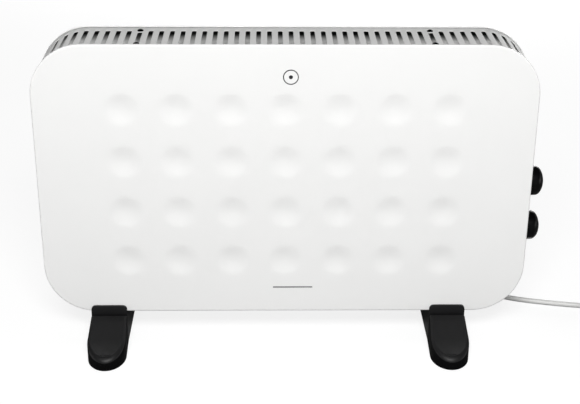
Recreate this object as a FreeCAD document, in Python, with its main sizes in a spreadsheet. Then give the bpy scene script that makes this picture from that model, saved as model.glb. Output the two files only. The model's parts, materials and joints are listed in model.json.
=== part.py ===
import FreeCAD, Part
import math
import os

import Sketcher
from FreeCAD import Placement, Rotation, Vector

# A free-standing fan convector heater. Millimetres, +Z up, front towards -Y.
# The origin is on the floor, midway between the feet's ends and under the middle of the case.

DIMENSIONS = {
    # case
    "case_width": 530.0,
    "case_height": 309.5,
    "case_depth": 70.0,
    "case_bottom": 38.0,
    "corner_radius": 56.0,
    "sheet_steel": 1.0,
    "rim_depth": 3.0,
    "rim_round": 1.8,
    "seam_gap": 0.6,
    "band_inset": 1.2,
    "flange_gap": 0.3,
    "front_flange": 11.5,
    "rear_flange": 9.5,
    "rear_tab_reach": 18.8,
    "rear_tab_width": 14.0,
    # pressed dimples of the front
    "dimple_radius": 18.0,
    "dimple_depth": 2.2,
    "dimple_pitch_across": 57.2,
    "dimple_pitch_up": 58.4,
    "dimple_columns": 7,
    "dimple_rows": 4,
    "dimple_lowest": 64.0,
    # outlet grille
    "slot_width": 4.9,
    "slot_pitch": 11.35,
    "slot_front": -29.5,
    "slot_back": 20.2,
    "slots_per_side": 22,
    "grille_end": 258.0,
    "side_panel_top": 252.0,
    "side_panel_foot": 202.5,
    # casing screws
    "screw_head_radius": 3.3,
    "screw_head_height": 2.0,
    "screw_shank_radius": 1.7,
    "screw_length": 7.0,
    "screw_row_front": -28.3,
    "screw_row_back": 19.0,
    "grille_screw_x": 153.3,
    "side_screw_low": 58.5,
    "side_screw_high": 247.0,
    # controls
    "knob_radius": 16.5,
    "knob_side": 13.0,
    "knob_length": 20.0,
    "knob_gap": 0.8,
    "knob_cavity_radius": 12.5,
    "knob_cavity_depth": 7.0,
    "thermostat_level": 182.5,
    "selector_level": 128.5,
    "spindle_radius": 3.0,
    "neck_radius": 4.75,
    "nut_across_flats": 14.0,
    "nut_thickness": 2.5,
    # feet
    "foot_length": 200.0,
    "foot_waist": 39.4,
    "foot_width": 42.0,
    "foot_nose": 28.0,
    "foot_tip_height": 12.5,
    "foot_slope": 22.0,
    "foot_lip_height": 8.5,
    "foot_lip_thickness": 3.6,
    "foot_groove_width": 2.2,
    "foot_groove_depth": 4.0,
    "foot_wall": 3.2,
    "left_foot_x": -196.0,
    "right_foot_x": 182.0,
    # heating element
    "element_left": -180.0,
    "element_right": 160.0,
    "element_y": 1.0,
    "coil_radius": 4.0,
    "coil_low": 70.0,
    "coil_spacing": 20.0,
    "coil_count": 3,
    # turbo fan
    "fan_level": 92.0,
    "fan_radius": 20.0,
    "fan_blades": 7,
    "motor_shaft_radius": 1.5,
    "partition_x": 192.0,
    # mains lead
    "cord_diameter": 6.2,
    "relief_length": 34.0,
    "cord_exit_x": 105.0,
    "cord_exit_level": 75.0,
    "coil_mid_radius": 33.0,
    "coil_centre_x": 394.0,
    "coil_centre_y": -6.0,
    "cord_turns": 5.25,
}

document = FreeCAD.newDocument("FanConvectorHeater")
sheet = document.addObject("Spreadsheet::Sheet", "Dimensions")
for row, (alias, value) in enumerate(DIMENSIONS.items(), start=1):
    sheet.set(f"A{row}", alias)
    sheet.set(f"B{row}", str(value))
    sheet.setAlias(f"B{row}", alias)
document.recompute()


class Size:
    """A number together with the spreadsheet expression that it comes from."""

    def __init__(self, value, text):
        self.value = float(value)
        self.text = text

    def __float__(self):
        return self.value

    def __add__(self, other):
        return combine(self, "+", other)

    def __radd__(self, other):
        return combine(other, "+", self)

    def __sub__(self, other):
        return combine(self, "-", other)

    def __rsub__(self, other):
        return combine(other, "-", self)

    def __mul__(self, other):
        return combine(self, "*", other)

    def __rmul__(self, other):
        return combine(other, "*", self)

    def __truediv__(self, other):
        return combine(self, "/", other)

    def __neg__(self):
        return combine(0, "-", self)


def as_size(value):
    return value if isinstance(value, Size) else Size(value, f"{float(value):.6f}")


def combine(left, sign, right):
    a = as_size(left)
    b = as_size(right)
    value = {
        "+": a.value + b.value,
        "-": a.value - b.value,
        "*": a.value * b.value,
        "/": a.value / b.value if b.value else 0.0,
    }[sign]
    return Size(value, f"({a.text} {sign} {b.text})")


def size(alias):
    return Size(sheet.get(alias), f"Dimensions.{alias}")


def number(alias):
    return float(sheet.get(alias))


def bind(item, prop, value):
    """Sets a property and ties it to the spreadsheet."""
    value = as_size(value)
    if "." not in prop:
        setattr(item, prop, value.value)
    if "Dimensions." in value.text:
        item.setExpression(prop, value.text)


nodes = []


def keep(item):
    """Marks a finished object as a sub-part that is written out under its label."""
    nodes.append(item)
    return item


# ---- sketches and PartDesign features ----


def new_body(name, position=(0, 0, 0), rotation=None):
    body = document.addObject("PartDesign::Body", name)
    body.Label = name
    body.Placement.Rotation = rotation or Rotation()
    for axis, value in zip("xyz", position):
        bind(body, f"Placement.Base.{axis}", value)
        setattr(body.Placement.Base, axis, float(value))
    return body


def new_sketch(body, role, offset=(0, 0, 0), turn=0.0):
    """A sketch on one of the body's own origin planes, moved by offset in the plane's axes."""
    sketch = body.newObject("Sketcher::SketchObject", f"{body.Name}_sketch")
    plane = next(f for f in body.Origin.OriginFeatures if f.Role == role)
    sketch.AttachmentSupport = [(plane, "")]
    sketch.MapMode = "FlatFace"
    lift = Placement(Vector(*[float(v) for v in offset]), Rotation(Vector(0, 1, 0), turn))
    sketch.AttachmentOffset = lift
    for axis, value in zip("xyz", offset):
        bind(sketch, f"AttachmentOffset.Base.{axis}", value)
    return sketch


def constrain(sketch, kind, *references, to):
    to = as_size(to)
    index = sketch.addConstraint(Sketcher.Constraint(kind, *references, to.value))
    if "Dimensions." in to.text:
        sketch.setExpression(f"Constraints[{index}]", to.text)


def place_point(sketch, geometry, vertex, x, y):
    constrain(sketch, "DistanceX", -1, 1, geometry, vertex, to=x)
    constrain(sketch, "DistanceY", -1, 1, geometry, vertex, to=y)


def draw_polygon(sketch, points):
    """A closed outline of straight lines, each corner tied to its own two sizes."""
    flat = [Vector(float(x), float(y), 0) for x, y in points]
    first = sketch.GeometryCount
    for start, end in zip(flat, flat[1:] + flat[:1]):
        sketch.addGeometry(Part.LineSegment(start, end))
    count = len(points)
    for i in range(count):
        after = first + (i + 1) % count
        sketch.addConstraint(Sketcher.Constraint("Coincident", first + i, 2, after, 1))
    for i, (x, y) in enumerate(points):
        place_point(sketch, first + i, 1, x, y)
    return first


def draw_rectangle(sketch, left, right, low, high):
    return draw_polygon(sketch, [(left, low), (right, low), (right, high), (left, high)])


def draw_circle(sketch, x, y, radius):
    centre = Vector(float(x), float(y), 0)
    index = sketch.addGeometry(Part.Circle(centre, Vector(0, 0, 1), float(radius)))
    place_point(sketch, index, 3, x, y)
    constrain(sketch, "Radius", index, to=radius)
    return index


def draw_rounded_rectangle(sketch, width, height, radius):
    """Centred on the sketch's origin: four sides and four tangent corner arcs."""
    w, h, r = float(width) / 2, float(height) / 2, float(radius)
    centres = [(w - r, h - r), (r - w, h - r), (r - w, r - h), (w - r, r - h)]
    first = sketch.GeometryCount
    for quarter, (x, y) in enumerate(centres):
        circle = Part.Circle(Vector(x, y, 0), Vector(0, 0, 1), r)
        start = quarter * math.pi / 2
        sketch.addGeometry(Part.ArcOfCircle(circle, start, start + math.pi / 2))
    sides = [
        ((w - r, h), (r - w, h)),
        ((-w, h - r), (-w, r - h)),
        ((r - w, -h), (w - r, -h)),
        ((w, r - h), (w, h - r)),
    ]
    for (x0, y0), (x1, y1) in sides:
        sketch.addGeometry(Part.LineSegment(Vector(x0, y0, 0), Vector(x1, y1, 0)))
    for i in range(4):
        arc, side, after = first + i, first + 4 + i, first + (i + 1) % 4
        sketch.addConstraint(Sketcher.Constraint("Tangent", arc, 2, side, 1))
        sketch.addConstraint(Sketcher.Constraint("Tangent", side, 2, after, 1))
    for i in range(1, 4):
        sketch.addConstraint(Sketcher.Constraint("Equal", first, first + i))
    sketch.addConstraint(Sketcher.Constraint("Horizontal", first + 4))
    sketch.addConstraint(Sketcher.Constraint("Vertical", first + 5))
    sketch.addConstraint(Sketcher.Constraint("Symmetric", first, 3, first + 2, 3, -1, 1))
    constrain(sketch, "Radius", first, to=radius)
    half_width, half_height = as_size(width) / 2, as_size(height) / 2
    constrain(sketch, "DistanceX", -1, 1, first, 3, to=half_width - radius)
    constrain(sketch, "DistanceY", -1, 1, first, 3, to=half_height - radius)
    return first


def draw_slot(sketch, width, start, end):
    """A slot with round ends along the sketch's Y axis, centred on X = 0."""
    r, a, b = float(width) / 2, float(start) + float(width) / 2, float(end) - float(width) / 2
    low = Part.Circle(Vector(0, a, 0), Vector(0, 0, 1), r)
    high = Part.Circle(Vector(0, b, 0), Vector(0, 0, 1), r)
    first = sketch.GeometryCount
    sketch.addGeometry(Part.ArcOfCircle(low, math.pi, 2 * math.pi))
    sketch.addGeometry(Part.LineSegment(Vector(r, a, 0), Vector(r, b, 0)))
    sketch.addGeometry(Part.ArcOfCircle(high, 0, math.pi))
    sketch.addGeometry(Part.LineSegment(Vector(-r, b, 0), Vector(-r, a, 0)))
    for i in range(4):
        after = first + (i + 1) % 4
        sketch.addConstraint(Sketcher.Constraint("Tangent", first + i, 2, after, 1))
    radius = as_size(width) / 2
    sketch.addConstraint(Sketcher.Constraint("Equal", first, first + 2))
    constrain(sketch, "Radius", first, to=radius)
    place_point(sketch, first, 3, 0, start + radius)
    place_point(sketch, first + 2, 3, 0, end - radius)


def feature(body, kind, sketch, **values):
    item = body.newObject(f"PartDesign::{kind}", f"{body.Name}_{kind}")
    item.Profile = sketch
    for prop, value in values.items():
        if isinstance(value, Size):
            bind(item, prop, value)
        else:
            setattr(item, prop, value)
    body.Tip = item
    return item


def cut_through(body, sketch):
    return feature(body, "Pocket", sketch, Type="ThroughAll", SideType="Symmetric")


def drill(body, role, centres, radius, reversed_way=False):
    """Round holes from the middle plane outwards, one way only."""
    sketch = new_sketch(body, role)
    for x, y in centres:
        draw_circle(sketch, x, y, radius)
    return feature(body, "Pocket", sketch, Type="ThroughAll", Reversed=reversed_way)


def pattern(body, originals, kind, **values):
    item = body.newObject(f"PartDesign::{kind}", f"{body.Name}_{kind}")
    item.Originals = originals
    for prop, value in values.items():
        if isinstance(value, Size):
            bind(item, prop, value)
        else:
            setattr(item, prop, value)
    body.Tip = item
    return item


# ---- the steel case ----

case_centre = size("case_bottom") + size("case_height") / 2
half_height = size("case_height") / 2
half_width = size("case_width") / 2
steel = size("sheet_steel")
flange_inset = size("band_inset") + steel + size("flange_gap")
clearance_hole = size("screw_shank_radius") + 0.2
thread_hole = size("screw_shank_radius") + 0.05
bottom_screw_xs = (-66.0, 66.0, 206.0)
side_screw_levels = (
    size("side_screw_low") - half_height,
    size("side_screw_high") - half_height,
)


def case_outline(sketch, inset):
    draw_rounded_rectangle(
        sketch,
        size("case_width") - 2 * inset,
        size("case_height") - 2 * inset,
        size("corner_radius") - inset,
    )


def pressed_tray(name, facing, flange):
    """A pressed panel: flat face, folded rim, and an inset flange that the bands are screwed to.

    In its own frame the face is at Y = 0 and the flange runs towards +Y.
    """
    turn = Rotation(Vector(0, 0, 1), 0 if facing < 0 else 180)
    body = new_body(name, (0, facing * size("case_depth") / 2, case_centre), turn)
    face = new_sketch(body, "XZ_Plane")
    case_outline(face, as_size(0))
    pad = feature(body, "Pad", face, Length=size("rim_depth"), Reversed=True)
    document.recompute()
    front_edges = [
        f"Edge{i}"
        for i, edge in enumerate(pad.Shape.Edges, start=1)
        if edge.BoundBox.YMax - pad.Shape.BoundBox.YMin < 1e-6
    ]
    fillet = body.newObject("PartDesign::Fillet", f"{name}_rim")
    fillet.Base = (pad, front_edges)
    bind(fillet, "Radius", size("rim_round"))
    body.Tip = fillet
    hollow = new_sketch(body, "XZ_Plane", (0, 0, -steel))
    case_outline(hollow, steel)
    feature(body, "Pocket", hollow, Length=size("rim_depth"))
    ring = new_sketch(body, "XZ_Plane", (0, 0, -steel / 2))
    case_outline(ring, flange_inset)
    case_outline(ring, flange_inset + steel)
    feature(body, "Pad", ring, Length=flange - steel / 2, Reversed=True)
    return body


def add_screw_tabs(body, facing):
    """Tabs that reach forward from the shallow rear flange, one under each screw of the back row."""
    start = size("rear_flange") - 2
    half, side, level = size("rear_tab_width") / 2, half_width - flange_inset, half_height - flange_inset
    tabs = new_sketch(body, "XZ_Plane", (0, 0, -start))
    for x in (-size("grille_screw_x"), size("grille_screw_x")):
        draw_rectangle(tabs, x - half, x + half, level - steel, level)
    for x in bottom_screw_xs:
        middle = as_size(facing * x)
        draw_rectangle(tabs, middle - half, middle + half, -level, steel - level)
    for z in side_screw_levels:
        draw_rectangle(tabs, side - steel, side, z - half, z + half)
        draw_rectangle(tabs, -side, steel - side, z - half, z + half)
    feature(body, "Pad", tabs, Length=size("rear_tab_reach") - start, Reversed=True)


def drill_flange(body, facing, row):
    """Screw holes for the grille, the side panels and the bottom panel."""
    depth = size("case_depth") / 2 + facing * row
    grille_x = size("grille_screw_x")
    drill(body, "XY_Plane", [(-grille_x, depth), (grille_x, depth)], thread_hole, True)
    bottoms = [(facing * x, depth) for x in bottom_screw_xs]
    drill(body, "XY_Plane", bottoms, thread_hole)
    sides = new_sketch(body, "YZ_Plane")
    for level in side_screw_levels:
        draw_circle(sides, depth, level, thread_hole)
    cut_through(body, sides)


def dimple_profile(sketch, base, radius, depth):
    """Half of a shallow spherical cap: the sketch's Y axis is the axis, base is where it starts."""
    r, d = float(radius), float(depth)
    ball = (r * r + d * d) / (2 * d)
    rise = math.asin(r / ball)
    ball_circle = Part.Circle(Vector(0, d - ball, 0), Vector(0, 0, 1), ball)
    low = float(base)
    top = sketch.addGeometry(Part.ArcOfCircle(ball_circle, math.pi / 2 - rise, math.pi / 2))
    axis = sketch.addGeometry(Part.LineSegment(Vector(0, d, 0), Vector(0, low, 0)))
    floor = sketch.addGeometry(Part.LineSegment(Vector(0, low, 0), Vector(r, low, 0)))
    side = sketch.addGeometry(Part.LineSegment(Vector(r, low, 0), Vector(r, 0, 0)))
    sketch.addConstraint(Sketcher.Constraint("Coincident", top, 2, axis, 1))
    sketch.addConstraint(Sketcher.Constraint("Coincident", axis, 2, floor, 1))
    sketch.addConstraint(Sketcher.Constraint("Coincident", floor, 2, side, 1))
    sketch.addConstraint(Sketcher.Constraint("Coincident", side, 2, top, 1))
    sketch.addConstraint(Sketcher.Constraint("PointOnObject", top, 3, -2))
    place_point(sketch, axis, 1, 0, depth)
    place_point(sketch, axis, 2, 0, base)
    place_point(sketch, floor, 2, radius, base)
    place_point(sketch, top, 1, radius, 0)


def press_dimples(body):
    """Rows and columns of shallow round dimples, the same sheet thickness all through."""
    left = -(size("dimple_columns") - 1) * size("dimple_pitch_across") / 2
    low = size("dimple_lowest") - half_height
    swell = new_sketch(body, "XY_Plane", (left, 0, low))
    dimple_profile(swell, steel / 2, size("dimple_radius") + 4, size("dimple_depth") + steel)
    bump = feature(body, "Revolution", swell, ReferenceAxis=(swell, ["V_Axis"]))
    hollow = new_sketch(body, "XY_Plane", (left, 0, low))
    dimple_profile(hollow, as_size(-1), size("dimple_radius"), size("dimple_depth"))
    groove = feature(body, "Groove", hollow, ReferenceAxis=(hollow, ["V_Axis"]))
    x_axis = next(f for f in body.Origin.OriginFeatures if f.Role == "X_Axis")
    z_axis = next(f for f in body.Origin.OriginFeatures if f.Role == "Z_Axis")
    pattern(
        body,
        [bump, groove],
        "LinearPattern",
        Direction=(x_axis, [""]),
        Length=(size("dimple_columns") - 1) * size("dimple_pitch_across"),
        Occurrences=int(number("dimple_columns")),
        Direction2=(z_axis, [""]),
        Length2=(size("dimple_rows") - 1) * size("dimple_pitch_up"),
        Occurrences2=int(number("dimple_rows")),
    )


def build_front_panel():
    body = pressed_tray("front_panel", -1, size("front_flange"))
    press_dimples(body)
    drill_flange(body, 1, size("screw_row_front"))
    keep(body)


def build_rear_panel():
    """The back tray, with rows of intake slots and the hole for the lead's strain relief."""
    body = pressed_tray("rear_panel", 1, size("rear_flange"))
    add_screw_tabs(body, -1)
    drill_flange(body, -1, size("screw_row_back"))
    columns, rows = 26, 3
    pitch_across, pitch_up, slot_length, lowest = 15.0, 44.0, 34.0, -96.0
    slot = new_sketch(body, "XZ_Plane", (-pitch_across * (columns - 1) / 2, lowest, 0))
    draw_slot(slot, size("slot_width"), as_size(0), as_size(slot_length))
    opening = feature(body, "Pocket", slot, Length=size("rim_depth"))
    x_axis = next(f for f in body.Origin.OriginFeatures if f.Role == "X_Axis")
    z_axis = next(f for f in body.Origin.OriginFeatures if f.Role == "Z_Axis")
    pattern(
        body,
        [opening],
        "LinearPattern",
        Direction=(x_axis, [""]),
        Length=pitch_across * (columns - 1),
        Occurrences=columns,
        Direction2=(z_axis, [""]),
        Length2=pitch_up * (rows - 1),
        Occurrences2=rows,
    )
    exit_hole = new_sketch(body, "XZ_Plane")
    level = size("cord_exit_level") - case_centre
    draw_circle(exit_hole, -size("cord_exit_x"), level, 5.0)
    feature(body, "Pocket", exit_hole, Length=size("rim_depth"))
    keep(body)


def band_body(name):
    """A closed band that fills the space between the two trays' rims; each piece is cut from it."""
    body = new_body(name, (0, 0, case_centre))
    ring = new_sketch(body, "XZ_Plane")
    case_outline(ring, size("band_inset"))
    case_outline(ring, size("band_inset") + steel)
    depth = size("case_depth") - 2 * (size("rim_depth") + size("seam_gap"))
    feature(body, "Pad", ring, Length=depth, SideType="Symmetric")
    return body


def cut_away(body, left, right, low, high):
    sketch = new_sketch(body, "XZ_Plane")
    draw_rectangle(sketch, left, right, low, high)
    cut_through(body, sketch)


def build_top_grille():
    """The slotted outlet over the top and both top corners."""
    body = band_body("top_grille")
    edge = half_width + 1
    cut_away(body, -edge, edge, -half_height - 1, size("grille_end") - half_height)
    flat_slots = 2 * int((number("case_width") / 2 - number("corner_radius")) // number("slot_pitch"))
    skipped = int(number("grille_screw_x") // number("slot_pitch"))
    first_x = -size("slot_pitch") * (flat_slots - 1) / 2
    runs = [
        (0, flat_slots // 2 - skipped - 1),
        (flat_slots // 2 - skipped, 2 * skipped),
        (flat_slots // 2 + skipped + 1, flat_slots // 2 - skipped - 1),
    ]
    x_axis = next(f for f in body.Origin.OriginFeatures if f.Role == "X_Axis")
    for start, count in runs:
        sketch = new_sketch(body, "XY_Plane", (first_x + start * size("slot_pitch"), 0, 0))
        draw_slot(sketch, size("slot_width"), size("slot_front"), size("slot_back"))
        opening = feature(body, "Pocket", sketch, Type="ThroughAll", Reversed=True)
        pattern(
            body,
            [opening],
            "LinearPattern",
            Direction=(x_axis, [""]),
            Length=(count - 1) * size("slot_pitch"),
            Occurrences=count,
        )
    for side in (-1, 1):
        short = new_sketch(body, "XY_Plane", (side * size("grille_screw_x"), 0, 0))
        reach = size("screw_head_radius") + 1.2
        start = size("screw_row_front") + reach
        draw_slot(short, size("slot_width"), start, size("screw_row_back") - reach)
        feature(body, "Pocket", short, Type="ThroughAll", Reversed=True)
        cut_corner_slots(body, side, flat_slots)
    screw_x = size("grille_screw_x")
    holes = [(s * screw_x, size("screw_row_front")) for s in (-1, 1)]
    holes += [(s * screw_x, size("screw_row_back")) for s in (-1, 1)]
    drill(body, "XY_Plane", holes, clearance_hole, True)
    keep(body)


def cut_corner_slots(body, side, flat_slots):
    """The slots that follow a corner, the same pitch apart along its arc."""
    arc_radius = number("corner_radius")
    corner_x = half_width - size("corner_radius")
    count = int(number("slots_per_side")) - flat_slots // 2
    along_arc = (flat_slots / 2 + 0.5) * number("slot_pitch") - float(corner_x)
    step = math.degrees(number("slot_pitch") / arc_radius)
    start = math.degrees(along_arc / arc_radius)
    for i in range(count):
        offset = (side * corner_x, 0, half_height - size("corner_radius"))
        sketch = new_sketch(body, "XY_Plane", offset, side * (start + i * step))
        draw_slot(sketch, size("slot_width"), size("slot_front"), size("slot_back"))
        feature(body, "Pocket", sketch, Type="ThroughAll", Reversed=True)


def build_side_panel(name, side):
    """A side: the straight wall and the bottom corner, down to the bottom panel's end."""
    body = band_body(name)
    edge = half_width + 1
    inner = side * size("side_panel_foot")
    far = -side * edge
    left, right = (far, inner) if side > 0 else (inner, far)
    cut_away(body, left, right, -half_height - 1, half_height + 1)
    high = size("side_panel_top") - half_height
    cut_away(body, -edge, edge, high, half_height + 1)
    rows = [size("screw_row_front"), size("screw_row_back")]
    walls = new_sketch(body, "YZ_Plane")
    for y in rows:
        for level in side_screw_levels:
            draw_circle(walls, y, level, clearance_hole)
    if side > 0:
        for level in ("thermostat_level", "selector_level"):
            draw_circle(walls, 0, size(level) - case_centre, size("neck_radius") + 0.15)
    cut_through(body, walls)
    if side > 0:
        drill(body, "XY_Plane", [(206.0, y) for y in rows], clearance_hole)
    keep(body)


def build_seam_strip(name, side):
    """The dark strip that covers the joint between the grille's end and the side panel."""
    low, high = size("side_panel_top"), size("grille_end")
    strip = document.addObject("Part::Box", name)
    strip.Label = name
    thickness = size("sheet_steel") + 0.9
    bind(strip, "Length", thickness)
    bind(strip, "Width", size("case_depth") - 2 * (size("rim_depth") + size("seam_gap")))
    bind(strip, "Height", high - low - 0.4)
    outer = half_width - size("band_inset") + 0.9
    bind(strip, "Placement.Base.x", outer - thickness if side > 0 else -outer)
    half_depth = size("case_depth") / 2 - size("rim_depth") - size("seam_gap")
    bind(strip, "Placement.Base.y", -half_depth)
    bind(strip, "Placement.Base.z", size("case_bottom") + low + 0.2)
    keep(strip)


def build_bottom_panel():
    """The flat underside, with intake slots between the feet."""
    body = band_body("bottom_panel")
    reach = size("side_panel_foot") - 0.3
    edge = half_width + 1
    cut_away(body, -edge, edge, -half_height + 5, half_height + 1)
    cut_away(body, -edge, -reach, -half_height - 1, half_height + 1)
    cut_away(body, reach, edge, -half_height - 1, half_height + 1)
    pitch = size("slot_pitch")
    x_axis = next(f for f in body.Origin.OriginFeatures if f.Role == "X_Axis")
    for start, count in ((-160.0, 7), (-45.4, 9), (78.0, 7)):
        sketch = new_sketch(body, "XY_Plane", (start, 0, 0))
        draw_slot(sketch, size("slot_width"), as_size(-19.0), as_size(15.0))
        opening = feature(body, "Pocket", sketch, Type="ThroughAll")
        pattern(
            body,
            [opening],
            "LinearPattern",
            Direction=(x_axis, [""]),
            Length=(count - 1) * pitch,
            Occurrences=count,
        )
    rows = [size("screw_row_front"), size("screw_row_back")]
    holes = [(x, y) for x in bottom_screw_xs[:2] for y in rows]
    drill(body, "XY_Plane", holes, clearance_hole)
    foot_holes = [
        (size(foot), y) for foot in ("left_foot_x", "right_foot_x") for y in FOOT_SCREW_YS
    ]
    drill(body, "XY_Plane", foot_holes, clearance_hole)
    keep(body)


# ---- screws ----

FOOT_SCREW_YS = (-12.0, 12.0)


def domed_screw(seat, direction, length):
    """A domed head on its seat and a plain shank, as one solid; direction points out of the head."""
    head, rise = number("screw_head_radius"), number("screw_head_height")
    shank = number("screw_shank_radius")
    edge = rise * 0.35
    cap = rise - edge
    ball = (head**2 + cap**2) / (2 * cap)
    half_bend = math.asin(head / ball) / 2
    mid = Vector(ball * math.sin(half_bend), 0, rise - ball + ball * math.cos(half_bend))
    corners = [
        Vector(0, 0, -length),
        Vector(shank, 0, -length),
        Vector(shank, 0, 0),
        Vector(head, 0, 0),
        Vector(head, 0, edge),
    ]
    edges = [Part.makeLine(a, b) for a, b in zip(corners, corners[1:])]
    edges.append(Part.Arc(corners[-1], mid, Vector(0, 0, rise)).toShape())
    edges.append(Part.makeLine(Vector(0, 0, rise), corners[0]))
    solid = Part.Face(Part.Wire(edges)).revolve(Vector(), Vector(0, 0, 1), 360)
    solid.Placement = Placement(Vector(*seat), Rotation(Vector(0, 0, 1), Vector(*direction)))
    return solid


def keep_group(name, solids):
    """A node that is a group of separate solids."""
    item = document.addObject("Part::Feature", name)
    item.Label = name
    item.Shape = Part.makeCompound(solids) if len(solids) > 1 else solids[0]
    return keep(item)


def build_screws():
    front, back = number("screw_row_front"), number("screw_row_back")
    length = number("screw_length")
    top = float(case_centre + half_height - size("band_inset"))
    low = float(size("case_bottom") + size("band_inset"))
    wall = float(half_width - size("band_inset"))
    grille_x = number("grille_screw_x")
    grille = [
        domed_screw((side * grille_x, y, top), (0, 0, 1), length)
        for side in (-1, 1)
        for y in (front, back)
    ]
    keep_group("grille_screws", grille)
    sides = [
        domed_screw((side * wall, y, float(case_centre + level)), (side, 0, 0), length)
        for side in (-1, 1)
        for y in (front, back)
        for level in side_screw_levels
    ]
    keep_group("side_screws", sides)
    bottoms = [
        domed_screw((x, y, low), (0, 0, -1), length) for x in bottom_screw_xs for y in (front, back)
    ]
    keep_group("bottom_screws", bottoms)
    seat = number("case_bottom") - 8.0
    feet = [
        domed_screw((number(foot), y, seat), (0, 0, -1), 15.0)
        for foot in ("left_foot_x", "right_foot_x")
        for y in FOOT_SCREW_YS
    ]
    keep_group("foot_screws", feet)


# ---- controls ----

side_wall = half_width - size("band_inset")
inner_wall = side_wall - steel


def build_knob(name, level):
    """A domed knob, hollow underneath, with a boss for the spindle; its axis is X."""
    body = new_body(name, (side_wall + size("knob_gap"), 0, size(level)))
    sketch = new_sketch(body, "XY_Plane")
    rim, shoulder, tip = size("knob_radius"), size("knob_side"), size("knob_length")
    cavity, depth = size("knob_cavity_radius"), size("knob_cavity_depth")
    bore, boss = size("spindle_radius") + 0.03, 6.0
    boss_start, bore_end = 4.2, 14.0
    points = [
        (bore_end, 0),
        (tip, 0),
        (shoulder, rim - 0.5),
        (0, rim),
        (0, cavity),
        (depth, cavity),
        (depth, boss),
        (boss_start, boss),
        (boss_start, bore),
        (bore_end, bore),
    ]
    flat = [Vector(float(x), float(y), 0) for x, y in points]
    dome_rise = float(tip - shoulder)
    edge_radius = float(rim) - 0.5
    ball = (edge_radius**2 + dome_rise**2) / (2 * dome_rise)
    swing = math.asin(edge_radius / ball)
    dome = Part.Circle(Vector(float(tip) - ball, 0, 0), Vector(0, 0, 1), ball)
    for i, (start, end) in enumerate(zip(flat, flat[1:] + flat[:1])):
        if i == 1:
            sketch.addGeometry(Part.ArcOfCircle(dome, 0, swing))
        else:
            sketch.addGeometry(Part.LineSegment(start, end))
    count = len(points)
    for i in range(count):
        sketch.addConstraint(Sketcher.Constraint("Coincident", i, 2, (i + 1) % count, 1))
    sketch.addConstraint(Sketcher.Constraint("PointOnObject", 1, 3, -1))
    for i, (x, y) in enumerate(points):
        place_point(sketch, i, 1, x, y)
    feature(body, "Revolution", sketch, ReferenceAxis=(sketch, ["H_Axis"]))
    keep(body)


def cylinder_along_x(name, radius, start, end, y, z):
    item = document.addObject("Part::Cylinder", name)
    item.Label = name
    bind(item, "Radius", radius)
    bind(item, "Height", end - start)
    item.Placement = Placement(
        Vector(float(start), float(y), float(z)), Rotation(Vector(0, 1, 0), 90)
    )
    bind(item, "Placement.Base.x", start)
    bind(item, "Placement.Base.y", y)
    bind(item, "Placement.Base.z", z)
    return item


def block(name, low, high):
    item = document.addObject("Part::Box", name)
    item.Label = name
    for prop, a, b in zip(("Length", "Width", "Height"), low, high):
        bind(item, prop, as_size(b) - a)
    for axis, a in zip("xyz", low):
        setattr(item.Placement.Base, axis, float(a))
        bind(item, f"Placement.Base.{axis}", as_size(a))
    return item


def boolean(name, kind, base, tool):
    item = document.addObject(f"Part::{kind}", name)
    item.Label = name
    item.Base = base
    item.Tool = tool
    return item


def build_control(prefix, level, body_size, spindle_name):
    """A rotary control behind the side panel: body, threaded neck, nut and turning spindle."""
    deep, wide, tall = body_size
    z = size(level)
    case = block(
        f"{prefix}_case",
        (inner_wall - deep, -wide / 2, z - tall / 2),
        (inner_wall, wide / 2, z + tall / 2),
    )
    neck_end = side_wall + size("nut_thickness") + 1.0
    neck = cylinder_along_x(
        f"{prefix}_neck", size("neck_radius"), inner_wall - 1, neck_end, as_size(0), z
    )
    whole = boolean(f"{prefix}_whole", "Fuse", case, neck)
    bore = cylinder_along_x(
        f"{prefix}_bore",
        size("spindle_radius") + 0.05,
        inner_wall - 19.0,
        neck_end + 1,
        as_size(0),
        z,
    )
    keep(boolean(f"{prefix}_body", "Cut", whole, bore))
    tip = side_wall + size("knob_gap") + 13.8
    keep(
        cylinder_along_x(
            spindle_name, size("spindle_radius"), inner_wall - 18.8, tip, as_size(0), z
        )
    )
    nut = new_body(f"{prefix}_nut", (side_wall, 0, z))
    outline = new_sketch(nut, "YZ_Plane")
    corner = number("nut_across_flats") / math.sqrt(3)
    angles = [math.radians(60 * i) for i in range(6)]
    draw_polygon(outline, [(corner * math.cos(a), corner * math.sin(a)) for a in angles])
    draw_circle(outline, 0, 0, size("neck_radius") + 0.1)
    feature(nut, "Pad", outline, Length=size("nut_thickness"))
    keep(nut)


# ---- feet ----


def foot_plan(inset):
    """The outline from above: waisted at the case and a long round nose at each end."""
    nose = number("foot_nose")
    half_length = number("foot_length") / 2
    waist, wide = number("foot_waist") / 2 - inset, number("foot_width") / 2 - inset
    straight_end = half_length - nose
    waist_y = number("case_depth") / 2
    edges = []
    for end in (1, -1):
        tip = Part.Ellipse(
            Vector(0, end * (straight_end + nose - inset), 0),
            Vector(wide, end * straight_end, 0),
            Vector(0, end * straight_end, 0),
        )
        arc = Part.Arc(tip, -math.pi / 2, math.pi / 2)
        edges.append(arc.toShape())
        side = end
        corners = [
            Vector(side * wide, -straight_end, 0),
            Vector(side * waist, -waist_y, 0),
            Vector(side * waist, waist_y, 0),
            Vector(side * wide, straight_end, 0),
        ]
        edges += [Part.makeLine(a, b) for a, b in zip(corners, corners[1:])]
    return Part.Face(Part.Wire(Part.__sortEdges__(edges)))


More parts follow.
